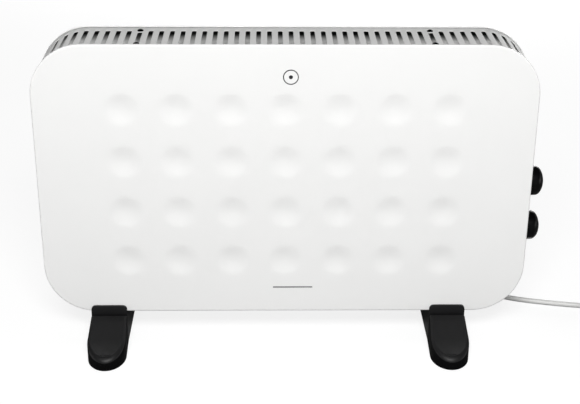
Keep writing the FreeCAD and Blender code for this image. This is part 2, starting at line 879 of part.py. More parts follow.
def foot_side_profile():
    """The outline from the side: two sloping tongues, a groove and a lip at each side of the case."""
    half = number("foot_length") / 2
    tip = number("foot_tip_height")
    case_half = number("case_depth") / 2 + 0.25
    lip = case_half + number("foot_lip_thickness")
    groove = lip + number("foot_groove_width")
    slope = math.tan(math.radians(number("foot_slope")))
    crest = tip + (half - groove) * slope
    seat = number("case_bottom") - 0.15
    front = [
        (half, 0.0),
        (half, tip),
        (groove, crest),
        (groove, crest - number("foot_groove_depth")),
        (lip, crest - number("foot_groove_depth")),
        (lip - 0.6, seat + number("foot_lip_height")),
        (case_half, seat + number("foot_lip_height")),
        (case_half, seat),
    ]
    back = [(-y, z) for y, z in reversed(front)]
    corners = [Vector(0, y, z) for y, z in front + back]
    return Part.Face(Part.makePolygon(corners + corners[:1]))


def build_foot(name, alias):
    x = number(alias)
    tall = number("case_bottom") + number("foot_lip_height") + 5
    wide = number("foot_width")
    from_above = foot_plan(0.0).extrude(Vector(0, 0, tall))
    profile = foot_side_profile()
    profile.translate(Vector(-wide, 0, 0))
    foot = from_above.common(profile.extrude(Vector(2 * wide, 0, 0)))
    hollow = foot_plan(number("foot_wall")).extrude(Vector(0, 0, 8.0))
    foot = foot.cut(hollow)
    seat = number("case_bottom") - 8.0
    for y in FOOT_SCREW_YS:
        recess = Part.makeCylinder(5.0, seat, Vector(0, y, 0))
        hole = Part.makeCylinder(number("screw_shank_radius") + 0.3, tall, Vector(0, y, 0))
        foot = foot.cut(recess).cut(hole)
    item = document.addObject("Part::Feature", name)
    item.Label = name
    item.Shape = foot.Solids[0]
    item.Placement = Placement(Vector(x, 0, 0), Rotation())
    keep(item)


# ---- heating element ----

panel_top = size("case_bottom") + size("band_inset") + steel
coil_levels = [size("coil_low") + i * size("coil_spacing") for i in range(int(number("coil_count")))]
plate_thickness = 1.2
coil_y = number("element_y")
end_plate_top = size("coil_low") + 50.0


def build_element_end_plates():
    """Two upright plates with a foot each, drilled for the ceramic bushes."""
    solids = []
    top = float(end_plate_top)
    low = float(panel_top)
    for x, way in ((number("element_left"), 1), (number("element_right"), -1)):
        upright = Part.makeBox(plate_thickness, 30.8, top - low, Vector(x, -15, low))
        for z in coil_levels:
            hole = Part.makeCylinder(6.1, 10, Vector(x - 5, coil_y, float(z)), Vector(1, 0, 0))
            upright = upright.cut(hole)
        start = x if way > 0 else x + plate_thickness - 11
        foot = Part.makeBox(11, 30.8, plate_thickness, Vector(start, -15, low))
        solids.append(upright.fuse(foot).removeSplitter())
    keep_group("element_end_plates", solids)


def build_element_rails():
    """Two flat rails that join the end plates over and under the cards."""
    solids = []
    left = number("element_left") + plate_thickness
    length = number("element_right") - left
    for z in (float(coil_levels[0]) - 12.2, float(end_plate_top) - plate_thickness):
        solids.append(Part.makeBox(length, 10, plate_thickness, Vector(left, coil_y - 5, z)))
    keep_group("element_rails", solids)


def build_mica_cards():
    """Insulating cards that hold the coils apart."""
    low = float(coil_levels[0]) - 11.0
    high = float(end_plate_top) - plate_thickness
    solids = []
    for i in range(5):
        x = -124.8 + i * 60.0
        card = Part.makeBox(0.8, 34, high - low, Vector(x, coil_y - 17, low))
        for z in coil_levels:
            hole = number("coil_radius") + 0.5
            start = Vector(x - 1, coil_y, float(z))
            card = card.cut(Part.makeCylinder(hole, 4, start, Vector(1, 0, 0)))
        solids.append(card)
    keep_group("mica_cards", solids)


def tube_along_x(outer, inner, start, end, y, z):
    axis = Vector(1, 0, 0)
    tube = Part.makeCylinder(outer, end - start, Vector(start, y, z), axis)
    return tube.cut(Part.makeCylinder(inner, end - start + 2, Vector(start - 1, y, z), axis))


def build_coils():
    """The resistance coils, each as the tube that its turns lie in."""
    radius = number("coil_radius")
    start, end = number("element_left") - 9, number("element_right") + 10
    coils = [tube_along_x(radius, radius - 0.9, start, end, coil_y, float(z)) for z in coil_levels]
    keep_group("heating_coils", coils)


def build_ceramic_bushes():
    """Flanged ceramic sleeves that carry the coils through the end plates."""
    bore = number("coil_radius") + 0.3
    solids = []
    left, right = number("element_left"), number("element_right") + plate_thickness
    for z in coil_levels:
        for sleeve_start, flange_start in ((left - 5, left - 2), (right - 6, right)):
            sleeve = tube_along_x(6.0, bore, sleeve_start, sleeve_start + 11, coil_y, float(z))
            flange = tube_along_x(8.0, bore, flange_start, flange_start + 2, coil_y, float(z))
            solids.append(sleeve.fuse(flange).removeSplitter())
    keep_group("ceramic_bushes", solids)


def build_heat_baffle():
    """A bright folded sheet between the element and the front panel."""
    body = new_body("heat_baffle", (-205.0, 0, 0))
    sketch = new_sketch(body, "YZ_Plane")
    face, thin = -22.0, 0.8
    low, high = panel_top, as_size(225.0)
    points = [
        (face, low),
        (face + 6.0, low),
        (face + 6.0, low + thin),
        (face + thin, low + thin),
        (face + thin, high - thin),
        (face + 10.0, high - thin),
        (face + 10.0, high),
        (face, high),
    ]
    draw_polygon(sketch, points)
    feature(body, "Pad", sketch, Length=360.0)
    keep(body)


def build_thermal_cutout():
    """A snap-disc cut-out on the upper rail, with two blade terminals."""
    base = float(end_plate_top)
    x, y = 30.0, coil_y
    cutout = Part.makeBox(24, 10, 0.8, Vector(x - 12, y - 5, base))
    cutout = cutout.fuse(Part.makeCylinder(8.0, 3.0, Vector(x, y, base)))
    cutout = cutout.fuse(Part.makeCylinder(6.4, 9.0, Vector(x, y, base)))
    for side in (-1, 1):
        blade = Part.makeBox(6.3, 0.8, 8.0, Vector(x - 3.15, y + side * 3.5 - 0.4, base + 8))
        cutout = cutout.fuse(blade)
    keep_group("thermal_cutout", [cutout.removeSplitter()])


# ---- turbo fan ----


def build_partition():
    """The plate between the hot side and the controls, with the fan's opening."""
    body = new_body("partition_plate", (size("partition_x"), 0, 0))
    sketch = new_sketch(body, "YZ_Plane")
    shoulder = panel_top + 2.6
    front, back, foot_front, foot_back = -30.0, 24.0, -22.5, 15.5
    points = [
        (foot_front, panel_top),
        (foot_back, panel_top),
        (foot_back, shoulder),
        (back, shoulder),
        (back, 241.0),
        (front, 241.0),
        (front, shoulder),
        (foot_front, shoulder),
    ]
    draw_polygon(sketch, points)
    draw_circle(sketch, 0, size("fan_level"), size("fan_radius") + 1.6)
    feature(body, "Pad", sketch, Length=0.8)
    foot = new_sketch(body, "YZ_Plane")
    draw_rectangle(foot, foot_front, foot_back, panel_top, panel_top + 0.8)
    feature(body, "Pad", foot, Length=9.0)
    keep(body)


def build_fan():
    """A small shaded-pole motor on a bridge, and its bladed wheel in the partition's opening."""
    z = size("fan_level")
    plate = number("partition_x") + 0.8
    bridge_x = plate + 9.0
    post_reach = number("fan_radius") + 5.5
    bridge = Part.makeBox(
        1.5, 16, 2 * post_reach + 8, Vector(bridge_x, -8, float(z) - post_reach - 4)
    )
    shaft_hole = Part.makeCylinder(4.0, 6, Vector(bridge_x - 2, 0, float(z)), Vector(1, 0, 0))
    bridge = bridge.cut(shaft_hole)
    for side in (-1, 1):
        post_z = float(z) + side * post_reach
        post = Part.makeCylinder(3.0, 9.0, Vector(plate, 0, post_z), Vector(1, 0, 0))
        bridge = bridge.fuse(post)
    keep_group("fan_bracket", [bridge.removeSplitter()])
    start = bridge_x + 1.5
    core = block("motor_core", (start, -18.0, z - 18.0), (start + 16.0, 18.0, z + 18.0))
    winding = block("motor_winding", (start + 1.0, -13.0, z - 28.0), (start + 15.0, 13.0, z - 17.0))
    motor = boolean("motor_block", "Fuse", core, winding)
    bore = cylinder_along_x(
        "motor_bore",
        size("motor_shaft_radius") + 0.05,
        as_size(start - 1),
        as_size(start + 17),
        as_size(0),
        z,
    )
    keep(boolean("fan_motor", "Cut", motor, bore))
    shaft = cylinder_along_x(
        "motor_shaft",
        size("motor_shaft_radius"),
        as_size(start - 22.0),
        as_size(start + 19.0),
        as_size(0),
        z,
    )
    keep(shaft)
    build_fan_wheel(start - 21.0)


def build_fan_wheel(start):
    """Hub and slanted blades; the wheel's axis is X."""
    body = new_body("fan_wheel", (start, 0, size("fan_level")))
    hub = new_sketch(body, "YZ_Plane")
    draw_circle(hub, 0, 0, 6.0)
    draw_circle(hub, 0, 0, size("motor_shaft_radius") + 0.02)
    feature(body, "Pad", hub, Length=14.0)
    blade = new_sketch(body, "XY_Plane", (0, 0, 4.6))
    draw_polygon(blade, [(1.0, -3.8), (2.2, -3.8), (13.0, 3.2), (11.8, 3.2)])
    vane = feature(body, "Pad", blade, Length=size("fan_radius") - 5.2)
    x_axis = next(f for f in body.Origin.OriginFeatures if f.Role == "X_Axis")
    blades = int(number("fan_blades"))
    pattern(body, [vane], "PolarPattern", Axis=(x_axis, [""]), Angle=360.0, Occurrences=blades)
    keep(body)


# ---- wiring and mains lead ----


def rounded_path(points, share=0.45):
    """Straight runs joined by tangent arcs, each as large as its two runs allow."""
    corners = [Vector(*p) for p in points]
    edges, radii = [], []
    start = corners[0]
    for before, corner, after in zip(corners, corners[1:], corners[2:]):
        back, ahead = before - corner, after - corner
        reach = share * min(back.Length, ahead.Length)
        turn = math.pi - back.getAngle(ahead)
        radii.append(reach / math.tan(turn / 2))
        back.normalize()
        ahead.normalize()
        first, last = corner + back * reach, corner + ahead * reach
        inward = back + ahead
        inward.normalize()
        sink = radii[-1] * (1 / math.cos(turn / 2) - 1)
        edges.append(Part.LineSegment(start, first).toShape())
        edges.append(Part.Arc(first, corner + inward * sink, last).toShape())
        start = last
    edges.append(Part.LineSegment(start, corners[-1]).toShape())
    return Part.Wire(edges), radii


def swept_tube(points, radius, name):
    """A round cord along a rounded path; its volume has to be its section times its length."""
    path, radii = rounded_path(points)
    heading = Vector(*points[1]) - Vector(*points[0])
    ring = Part.Wire([Part.Circle(Vector(*points[0]), heading, radius).toShape()])
    tube = path.makePipeShell([ring], True, False)
    expected = math.pi * radius**2 * path.Length
    print(
        f"{name}: length {path.Length:.1f}, radii {min(radii):.1f} to {max(radii):.1f},"
        f" volume ratio {tube.Volume / expected:.4f}"
    )
    return tube


cord_radius = number("cord_diameter") / 2
cord_floor = cord_radius + 0.05
relief_end = number("case_depth") / 2 + number("relief_length")

# From the strain relief down behind the case, round the right foot and out along the floor.
LEAD_ROUTE = [
    (number("cord_exit_x"), relief_end, number("cord_exit_level")),
    (number("cord_exit_x"), relief_end + 27.0, number("cord_exit_level")),
    (114.0, 122.0, 60.0),
    (133.0, 137.0, 36.0),
    (160.0, 138.0, 14.0),
    (192.0, 124.0, cord_floor),
    (220.0, 100.0, cord_floor),
    (244.0, 74.0, cord_floor),
    (272.0, 57.0, cord_floor),
    (312.0, 46.5, cord_floor),
    (352.0, 38.5, cord_floor),
    (384.0, 34.5, cord_floor),
]


def build_strain_relief():
    """A tapered moulding with a collar against the rear panel."""
    y = number("case_depth") / 2
    x, z = number("cord_exit_x"), number("cord_exit_level")
    back = Vector(0, 1, 0)
    collar = Part.makeCylinder(8.5, 2.5, Vector(x, y, z), back)
    neck = Part.makeCylinder(4.8, 6.0, Vector(x, y - 4.0, z), back)
    taper_length = number("relief_length") - 2.5
    taper = Part.makeCone(5.6, cord_radius + 0.7, taper_length, Vector(x, y + 2.5, z), back)
    relief = collar.fuse(neck).fuse(taper).removeSplitter()
    keep_group("strain_relief", [relief])


def build_supply_cord():
    """The lead along its free run, from the strain relief to the coil."""
    lead = swept_tube(LEAD_ROUTE, cord_radius, "supply_cord")
    keep_group("supply_cord", [lead])


def build_cord_coil():
    """The outer shape of the put-away turns: two layers of three."""
    diameter = number("cord_diameter")
    middle = number("coil_mid_radius")
    centre = Vector(number("coil_centre_x"), number("coil_centre_y"), 0.05)
    outer = Part.makeCylinder(middle + 1.5 * diameter + 0.4, 2 * diameter + 0.2, centre)
    inner = Part.makeCylinder(middle - 1.5 * diameter - 0.4, 4 * diameter, centre - Vector(0, 0, 5))
    keep_group("cord_coil", [outer.cut(inner)])


plug_radius = 18.5
plug_length = 36.0
PLUG_X = number("coil_centre_x") + number("coil_mid_radius") + 6.0
plug_face_y = -128.0


def build_plug():
    """A round two-pin moulded plug that lies on its side on the floor, pins towards the front."""
    x, z = PLUG_X, plug_radius
    back = Vector(0, 1, 0)
    disc = Part.makeCylinder(plug_radius, 18.0, Vector(x, plug_face_y, z), back)
    cone = Part.makeCone(plug_radius, 8.0, plug_length - 18.0, Vector(x, plug_face_y + 18, z), back)
    neck_start = plug_face_y + plug_length
    neck = Part.makeCone(6.0, cord_radius + 0.7, 24.0, Vector(x, neck_start, z), back)
    body = disc.fuse(cone).fuse(neck)
    for side in (-1, 1):
        key = Part.makeBox(4.0, 12.0, 6.0, Vector(x + side * 17.5 - 2.0, plug_face_y - 1, z - 3))
        body = body.cut(key)
    for side in (-1, 1):
        socket = Part.makeCylinder(2.4, 6.0, Vector(x, plug_face_y, z + side * 9.5), back)
        body = body.cut(socket)
    keep_group("plug_body", [body.removeSplitter()])
    pins = []
    for side in (-1, 1):
        pin = Part.makeCylinder(2.4, 23.0, Vector(x, plug_face_y - 17.0, z + side * 9.5), back)
        tip = Part.makeSphere(2.4, Vector(x, plug_face_y - 17.0, z + side * 9.5))
        pins.append(pin.fuse(tip).removeSplitter())
    keep_group("plug_pins", pins)


def build_cord_tail():
    """The last of the lead, from the coil's upper turn to the plug's neck."""
    start_y = number("coil_centre_y") - 22.0
    end_y = plug_face_y + plug_length + 24.0
    route = [
        (PLUG_X - 9.0, start_y, 2 * number("cord_diameter") - cord_radius + 0.2),
        (PLUG_X - 6.0, start_y - 13.0, 12.0),
        (PLUG_X, start_y - 27.0, plug_radius),
        (PLUG_X, end_y, plug_radius),
    ]
    keep_group("cord_tail", [swept_tube(route, cord_radius, "cord_tail")])
    turns = number("cord_turns") * 2 * math.pi * number("coil_mid_radius")
    free_run = rounded_path(LEAD_ROUTE)[0].Length + rounded_path(route)[0].Length
    print(f"whole lead {free_run + turns:.0f} mm, of which {turns:.0f} mm is in the coil")


block_low, block_high = 150.0, 163.0
block_x = number("partition_x") + 0.8


def build_terminal_block():
    """The screw terminals on the partition, beside the controls."""
    housing = Part.makeBox(13, 26, block_high - block_low, Vector(block_x, -13, block_low))
    for y in (-8.0, 0.0, 8.0):
        start = Vector(block_x + 6.5, y, block_low - 1)
        housing = housing.cut(Part.makeCylinder(1.9, block_high - block_low + 2, start))
    keep_group("terminal_block", [housing])


def build_internal_wires():
    """The lead's inner end, and the cores between the terminals, the controls and the fan."""
    x, y = block_x + 6.5, number("case_depth") / 2 - 4.0
    tail = [
        (number("cord_exit_x") + 1.0, y - 0.6, number("cord_exit_level") - 0.5),
        (112.0, 28.0, 71.0),
        (130.0, 27.6, 62.0),
        (164.0, 28.0, 57.0),
        (198.0, 28.2, 62.0),
        (214.0, 27.0, 80.0),
        (214.0, 23.0, 110.0),
        (204.0, 15.0, 134.0),
        (x, 9.5, block_low),
    ]
    to_selector = [
        (x, -8.0, block_low + 1.0),
        (x + 2.0, -9.0, block_low - 8.0),
        (x + 12.0, -10.0, block_low - 17.0),
        (float(inner_wall) - 24.2, -8.0, number("selector_level")),
    ]
    to_thermostat = [
        (x, 0.0, block_high - 1.0),
        (x + 1.5, 0.5, block_high + 8.0),
        (x + 12.0, 2.0, block_high + 18.0),
        (float(inner_wall) - 26.2, 2.0, number("thermostat_level")),
    ]
    to_fan = [
        (x, 0.0, block_low + 1.0),
        (x + 0.5, 0.5, block_low - 10.0),
        (x + 8.0, 0.5, block_low - 24.0),
        (x + 11.0, 0.0, number("fan_level") + 18.2),
    ]
    runs = [swept_tube(tail, 2.6, "lead_inner_end")]
    for route, name in ((to_selector, "selector"), (to_thermostat, "thermostat"), (to_fan, "fan")):
        runs.append(swept_tube(route, 1.1, f"{name}_core"))
    keep_group("internal_wires", runs)


def build_all():
    build_front_panel()
    build_rear_panel()
    build_top_grille()
    for name, side in (("left", -1), ("right", 1)):
        build_side_panel(f"{name}_side_panel", side)
        build_seam_strip(f"{name}_seam_strip", side)
        build_foot(f"{name}_foot", f"{name}_foot_x")
    build_bottom_panel()
    build_screws()
    build_control("thermostat", "thermostat_level", (26.0, 30.0, 28.0), "thermostat_spindle")
    build_control("selector", "selector_level", (24.0, 30.0, 22.0), "selector_spindle")
    build_knob("thermostat_knob", "thermostat_level")
    build_knob("selector_knob", "selector_level")
    build_element_end_plates()
    build_element_rails()
    build_mica_cards()
    build_coils()
    build_ceramic_bushes()
    build_heat_baffle()
    build_thermal_cutout()
    build_partition()
    build_fan()
    build_terminal_block()
    build_internal_wires()
    build_strain_relief()
    build_supply_cord()
    build_cord_coil()
    build_cord_tail()
    build_plug()


def check_and_write():
    document.recompute()
    failed = [
        item.Label
        for item in document.Objects
        if "Invalid" in item.State or "Error" in item.State
    ]
    if failed:
        raise RuntimeError(f"failed objects: {failed}")
    os.makedirs("parts", exist_ok=True)
    for item in nodes:
        shape = item.Shape
        if shape.isNull() or not shape.isValid():
            raise RuntimeError(f"{item.Label} has no valid shape")
        shape.exportStep(f"parts/{item.Label}.step")
        box = shape.BoundBox
        print(
            f"{item.Label}: {len(shape.Solids)} solids, volume {shape.Volume:.0f}, "
            f"{box.XMin:.1f}..{box.XMax:.1f} {box.YMin:.1f}..{box.YMax:.1f} "
            f"{box.ZMin:.1f}..{box.ZMax:.1f}"
        )


build_all()
check_and_write()
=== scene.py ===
import json
import math

import bmesh
import bpy
from mathutils import Matrix, Vector


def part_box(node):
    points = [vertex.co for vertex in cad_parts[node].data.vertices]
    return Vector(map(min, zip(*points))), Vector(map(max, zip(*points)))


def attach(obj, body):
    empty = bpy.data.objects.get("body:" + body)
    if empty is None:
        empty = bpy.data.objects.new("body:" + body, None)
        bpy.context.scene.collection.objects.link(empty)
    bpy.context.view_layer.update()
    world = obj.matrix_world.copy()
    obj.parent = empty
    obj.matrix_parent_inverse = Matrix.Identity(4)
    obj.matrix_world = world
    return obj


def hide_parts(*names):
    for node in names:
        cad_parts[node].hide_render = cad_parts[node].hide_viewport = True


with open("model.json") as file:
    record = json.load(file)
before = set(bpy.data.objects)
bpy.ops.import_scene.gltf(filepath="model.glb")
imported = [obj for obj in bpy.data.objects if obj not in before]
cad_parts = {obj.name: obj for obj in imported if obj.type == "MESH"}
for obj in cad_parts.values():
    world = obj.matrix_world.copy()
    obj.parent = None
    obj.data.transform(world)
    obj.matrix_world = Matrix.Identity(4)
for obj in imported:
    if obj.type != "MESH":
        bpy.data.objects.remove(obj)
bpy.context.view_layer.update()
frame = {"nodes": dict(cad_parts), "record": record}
mm = 0.001

caseShape = {  # millimetres, the folded steel case
    "cornerRadius": 56.0,
    "sheet": 1.0,
    "rimDepth": 3.0,
    "rimRound": 1.8,
    "bandInset": 1.2,
    "bandRound": 0.25,
    "flangeGap": 0.3,
}
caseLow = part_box("front_panel")[0]
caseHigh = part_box("rear_panel")[1]
halfWidth = caseHigh.x
halfHeight = (caseHigh.z - caseLow.z) / 2
midHeight = (caseHigh.z + caseLow.z) / 2
cornerRadius = caseShape["cornerRadius"] * mm
sheet = caseShape["sheet"] * mm


# small helpers


def setInputs(tree, node, inputs):  # numbers, sockets, nodes for their first output, or lists of these
    for key, value in inputs.items():
        for item in value if isinstance(value, list) else [value]:
            if isinstance(item, bpy.types.Node):
                item = item.outputs[0]
            if isinstance(item, bpy.types.NodeSocket):
                tree.links.new(item, node.inputs[key])
            else:
                node.inputs[key].default_value = item


def addNode(tree, kind, inputs=None, **settings):
    node = tree.nodes.new(kind)
    for name, value in settings.items():
        setattr(node, name, value)
    setInputs(tree, node, inputs or {})
    return node


def fromHex(text):  # sRGB hex to linear RGBA
    parts = [int(text[i:i + 2], 16) / 255 for i in (0, 2, 4)]
    linear = [p / 12.92 if p <= 0.04045 else ((p + 0.055) / 1.055) ** 2.4 for p in parts]
    return (*linear, 1.0)


def newPiece(name, vertices, faces):
    mesh = bpy.data.meshes.new(name)
    mesh.from_pydata([tuple(v) for v in vertices], [], faces)
    mesh.update()
    piece = bpy.data.objects.new(name, mesh)
    bpy.context.scene.collection.objects.link(piece)
    return piece


def boxMesh(name, boxes):  # closed blocks, each (low corner, high corner)
    vertices, faces = [], []
    for low, high in boxes:
        first = len(vertices)
        for z in (low[2], high[2]):
            vertices += [(low[0], low[1], z), (high[0], low[1], z)]
            vertices += [(high[0], high[1], z), (low[0], high[1], z)]
        for quad in ((3, 2, 1, 0), (4, 5, 6, 7), (0, 1, 5, 4), (1, 2, 6, 5), (2, 3, 7, 6), (3, 0, 4, 7)):
            faces.append(tuple(first + k for k in quad))
    return newPiece(name, vertices, faces)


def cleanMesh(piece, distance=1e-6, outwards=True):  # closes seams and poles, turns faces out
    work = bmesh.new()
    work.from_mesh(piece.data)
    bmesh.ops.remove_doubles(work, verts=work.verts, dist=distance)
    bmesh.ops.dissolve_degenerate(work, edges=work.edges, dist=distance)
    if outwards:
        bmesh.ops.recalc_face_normals(work, faces=work.faces)
    work.to_mesh(piece.data)
    work.free()


def joinPieces(name, pieces):
    work = bmesh.new()
    for piece in pieces:
        work.from_mesh(piece.data)
        bpy.data.objects.remove(piece)
    joined = newPiece(name, [], [])
    work.to_mesh(joined.data)
    work.free()
    return joined


def shade(piece, angle):
    piece.data.shade_smooth()
    piece.data.set_sharp_from_angle(angle=math.radians(angle))


def applyModifiers(piece):
    graph = bpy.context.evaluated_depsgraph_get()
    made = bpy.data.meshes.new_from_object(piece.evaluated_get(graph), depsgraph=graph)
    piece.modifiers.clear()
    piece.data = made


def setMaterial(piece, material):
    piece.data.materials.clear()
    piece.data.materials.append(material)


def settle(piece, body, slotName, *nodes):
    if nodes:
        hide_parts(*nodes)
    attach(piece, body)


def evenly(low, high, step):  # even values from low to high, at most a step apart
    count = max(1, math.ceil((high - low) / step - 1e-6))
    return [low + (high - low) * i / count for i in range(count + 1)]


def newTree(name, sockets):  # sockets: kind to names; also gives the sockets of the group's input
    tree = bpy.data.node_groups.new(name, "GeometryNodeTree")
    tree.interface.new_socket("Geometry", in_out="INPUT", socket_type="NodeSocketGeometry")
    for kind, labels in sockets.items():
        for label in labels:
            tree.interface.new_socket(label, in_out="INPUT", socket_type="NodeSocket" + kind)
    tree.interface.new_socket("Geometry", in_out="OUTPUT", socket_type="NodeSocketGeometry")
    return tree, addNode(tree, "NodeGroupInput").outputs


def closeTree(tree, geometry, material):
    real = addNode(tree, "GeometryNodeRealizeInstances", {"Geometry": geometry})
    finish = addNode(tree, "GeometryNodeSetMaterial", {"Geometry": real, "Material": material})
    addNode(tree, "NodeGroupOutput", {"Geometry": finish})


def runTree(piece, tree, values):  # one plain mesh from the tree, then the modifier goes
    modifier = piece.modifiers.new(tree.name, "NODES")
    modifier.node_group = tree
    for item in tree.interface.items_tree:
        if item.in_out == "INPUT" and item.name in values:
            modifier[item.identifier] = values[item.name]
    applyModifiers(piece)


# camera, light and floor

view = {  # metres and degrees; the lens is for a 36 mm wide frame
    "place": (-0.0193, -1.2334, 0.7112),
    "turn": 1.163,
    "down": 24.218,
    "roll": 0.434,
    "lens": 75.70,
}


def makeCamera():
    turn, down, roll = (math.radians(view[k]) for k in ("turn", "down", "roll"))
    ahead = Vector((math.sin(turn) * math.cos(down), math.cos(turn) * math.cos(down), -math.sin(down)))
    right = Vector((math.cos(turn), -math.sin(turn), 0))
    up = right.cross(ahead)
    rightRolled = right * math.cos(roll) + up * math.sin(roll)
    upRolled = up * math.cos(roll) - right * math.sin(roll)
    data = bpy.data.cameras.new("viewCamera")
    data.lens = view["lens"]
    data.sensor_width = 36.0
    data.clip_start = 0.05
    data.clip_end = 50.0
    camera = bpy.data.objects.new("viewCamera", data)
    turnMatrix = Matrix((rightRolled, upRolled, -ahead)).transposed()
    camera.matrix_world = Matrix.Translation(view["place"]) @ turnMatrix.to_4x4()
    bpy.context.scene.collection.objects.link(camera)
    bpy.context.scene.camera = camera


lamps = [  # name, place in metres, width and height in metres, watts
    ("frontSoftbox", (0.0, -1.5, 1.42), (0.9, 0.45), 36.5),
    ("leftSoftbox", (-2.3, -0.5, 0.35), (1.6, 0.7), 8.0),
    ("rightSoftbox", (2.3, -0.5, 0.35), (1.6, 0.7), 8.0),
    ("backSoftbox", (0.3, 2.6, 0.35), (2.4, 0.6), 32.0),
]
studio = {"horizon": 0.5, "zenith": 0.02, "fadeAt": 0.4, "floor": "848484", "floorGlow": 0.82}


def makeLights():
    target = Vector((0, 0, midHeight))
    for name, place, size, watts in lamps:
        data = bpy.data.lights.new(name, "AREA")
        data.shape = "RECTANGLE"
        data.size, data.size_y = size
        data.energy = watts
        lamp = bpy.data.objects.new(name, data)
        aim = (target - Vector(place)).to_track_quat("-Z", "Y")
        lamp.matrix_world = Matrix.Translation(place) @ aim.to_matrix().to_4x4()
        bpy.context.scene.collection.objects.link(lamp)
    world = bpy.data.worlds.new("studio")
    world.use_nodes = True
    tree = world.node_tree
    height = addNode(
        tree, "ShaderNodeSeparateXYZ", {0: addNode(tree, "ShaderNodeTexCoord").outputs["Generated"]}
    )
    fade = addNode(  # pale walls all round, a dark ceiling
        tree,
        "ShaderNodeMapRange",
        {
            "Value": height.outputs[2],
            "From Max": studio["fadeAt"],
            "To Min": studio["horizon"],
            "To Max": studio["zenith"],
        },
    )
    setInputs(tree, tree.nodes["Background"], {"Color": fromHex("FFFFFF"), "Strength": fade})
    bpy.context.scene.world = world
    bpy.context.scene.view_settings.view_transform = "Standard"


def makeFloor():
    reach, depth = 6.0, 0.0002
    floor = newPiece(
        "studioFloor",
        [(x, y, -depth) for x, y in ((-reach, -reach), (reach, -reach), (reach, reach), (-reach, reach))],
        [(0, 1, 2, 3)],
    )
    glow = {"Emission Color": fromHex("FFFFFF"), "Emission Strength": studio["floorGlow"]}
    colour = fromHex(studio["floor"])
    paper = newMaterial("studioPaper")[0]
    setMaterial(floor, dress(paper, {"Base Color": colour, "Roughness": 0.9, **glow}))
    lit = bpy.data.collections.new("litByFloor")  # the floor glows pale, but lights nothing but itself
    lit.objects.link(floor)
    floor.light_linking.receiver_collection = lit


# materials


def newMaterial(name):
    material = bpy.data.materials.new(name)
    material.use_nodes = True
    return material, material.node_tree


def dress(material, look):  # the surface takes the values and nodes of the look
    tree = material.node_tree
    setInputs(tree, tree.nodes["Principled BSDF"], look)
    return material


def variation(tree, tone, wear, colours, roughness, least, most):
    # the colour and the gloss each change a little over the surface
    first, second = (fromHex(colour) for colour in colours)
    tint = addNode(tree, "ShaderNodeMix", {0: tone, 6: first, 7: second}, data_type="RGBA")
    gloss = addNode(
        tree, "ShaderNodeMapRange", {"Value": wear, "To Min": roughness * least, "To Max": roughness * most}
    )
    return {"Base Color": tint.outputs[2], "Roughness": gloss}


def powderCoat(name, colour, shadeColour, roughness, peel, depth, shine=0.5):
    # polyester powder baked on steel: closed skin with the faint waves called orange peel
    material, tree = newMaterial(name)
    place = addNode(tree, "ShaderNodeTexCoord").outputs["Object"]
    waves = addNode(
        tree, "ShaderNodeTexNoise", {"Vector": place, "Scale": 1 / (peel * mm), "Detail": 2.0}
    ).outputs["Fac"]
    cloud = addNode(
        tree, "ShaderNodeTexNoise", {"Vector": place, "Scale": 1 / (90 * mm), "Detail": 3.0}
    ).outputs["Fac"]
    look = variation(tree, cloud, cloud, (colour, shadeColour), roughness, 0.85, 1.2)
    bump = addNode(tree, "ShaderNodeBump", {"Height": waves, "Distance": depth * mm, "Strength": 1.0})
    return dress(material, {**look, "Normal": bump, "IOR": 1.5, "Specular IOR Level": shine})


def primerWithPaintedSlotLight(name, primerAndShade, paintedSlotLight, roughness):
    # dark primer from the dip, dark enough to stand in for shade; the white band below the outlet is
    # painted light where light through the outlet slots would fall, and the dark strip just under the
    # outlet is painted shade
    material, tree = newMaterial(name)
    place = addNode(tree, "ShaderNodeTexCoord").outputs["Object"]
    height = addNode(tree, "ShaderNodeSeparateXYZ", {0: place}).outputs[2]
    zones = []
    for start, end in (paintedSlotLight["begins"], paintedSlotLight["fades"]):  # depths below the outlet
        high, low = caseHigh.z - start * mm, caseHigh.z - end * mm
        zones.append(
            addNode(tree, "ShaderNodeMapRange", {"Value": height, "From Min": high, "From Max": low})
        )
    # painted light: the white rises from 9 to 17 mm below the outlet, stays full to 60 mm and fades out by
    # 110 mm; the dark primer above it is painted shade
    paintedLightMask = addNode(tree, "ShaderNodeMath", {0: zones[0], 1: zones[1]}, operation="SUBTRACT", use_clamp=True)
    specks = addNode(
        tree, "ShaderNodeTexNoise", {"Vector": place, "Scale": 1 / (1.2 * mm), "Detail": 3.0}
    ).outputs["Fac"]
    look = variation(tree, paintedLightMask, specks, (primerAndShade, paintedSlotLight["colour"]), roughness, 0.85, 1.2)
    bump = addNode(tree, "ShaderNodeBump", {"Height": specks, "Distance": 0.02 * mm})
    return dress(material, {**look, "Normal": bump, "IOR": 1.5, "Specular IOR Level": 0.2})


def mouldedPlastic(name, colour, rubbed, roughness, grain, depth, shine):
    # injection moulded: an eroded mould leaves a fine even grain, handled places shine a little more
    material, tree = newMaterial(name)
    place = addNode(tree, "ShaderNodeTexCoord").outputs["Object"]
    grains = addNode(
        tree, "ShaderNodeTexVoronoi", {"Vector": place, "Scale": 1 / (grain * mm)}, feature="SMOOTH_F1"
    )
    cloud = addNode(
        tree, "ShaderNodeTexNoise", {"Vector": place, "Scale": 1 / (35 * mm), "Detail": 4.0}
    ).outputs["Fac"]
    look = variation(tree, cloud, cloud, (colour, rubbed), roughness, 0.8, 1.2)
    relief = {"Height": grains.outputs["Distance"], "Distance": depth * mm, "Strength": 0.6}
    bump = addNode(tree, "ShaderNodeBump", relief)
    return dress(material, {**look, "Normal": bump, "IOR": 1.5, "Specular IOR Level": shine})


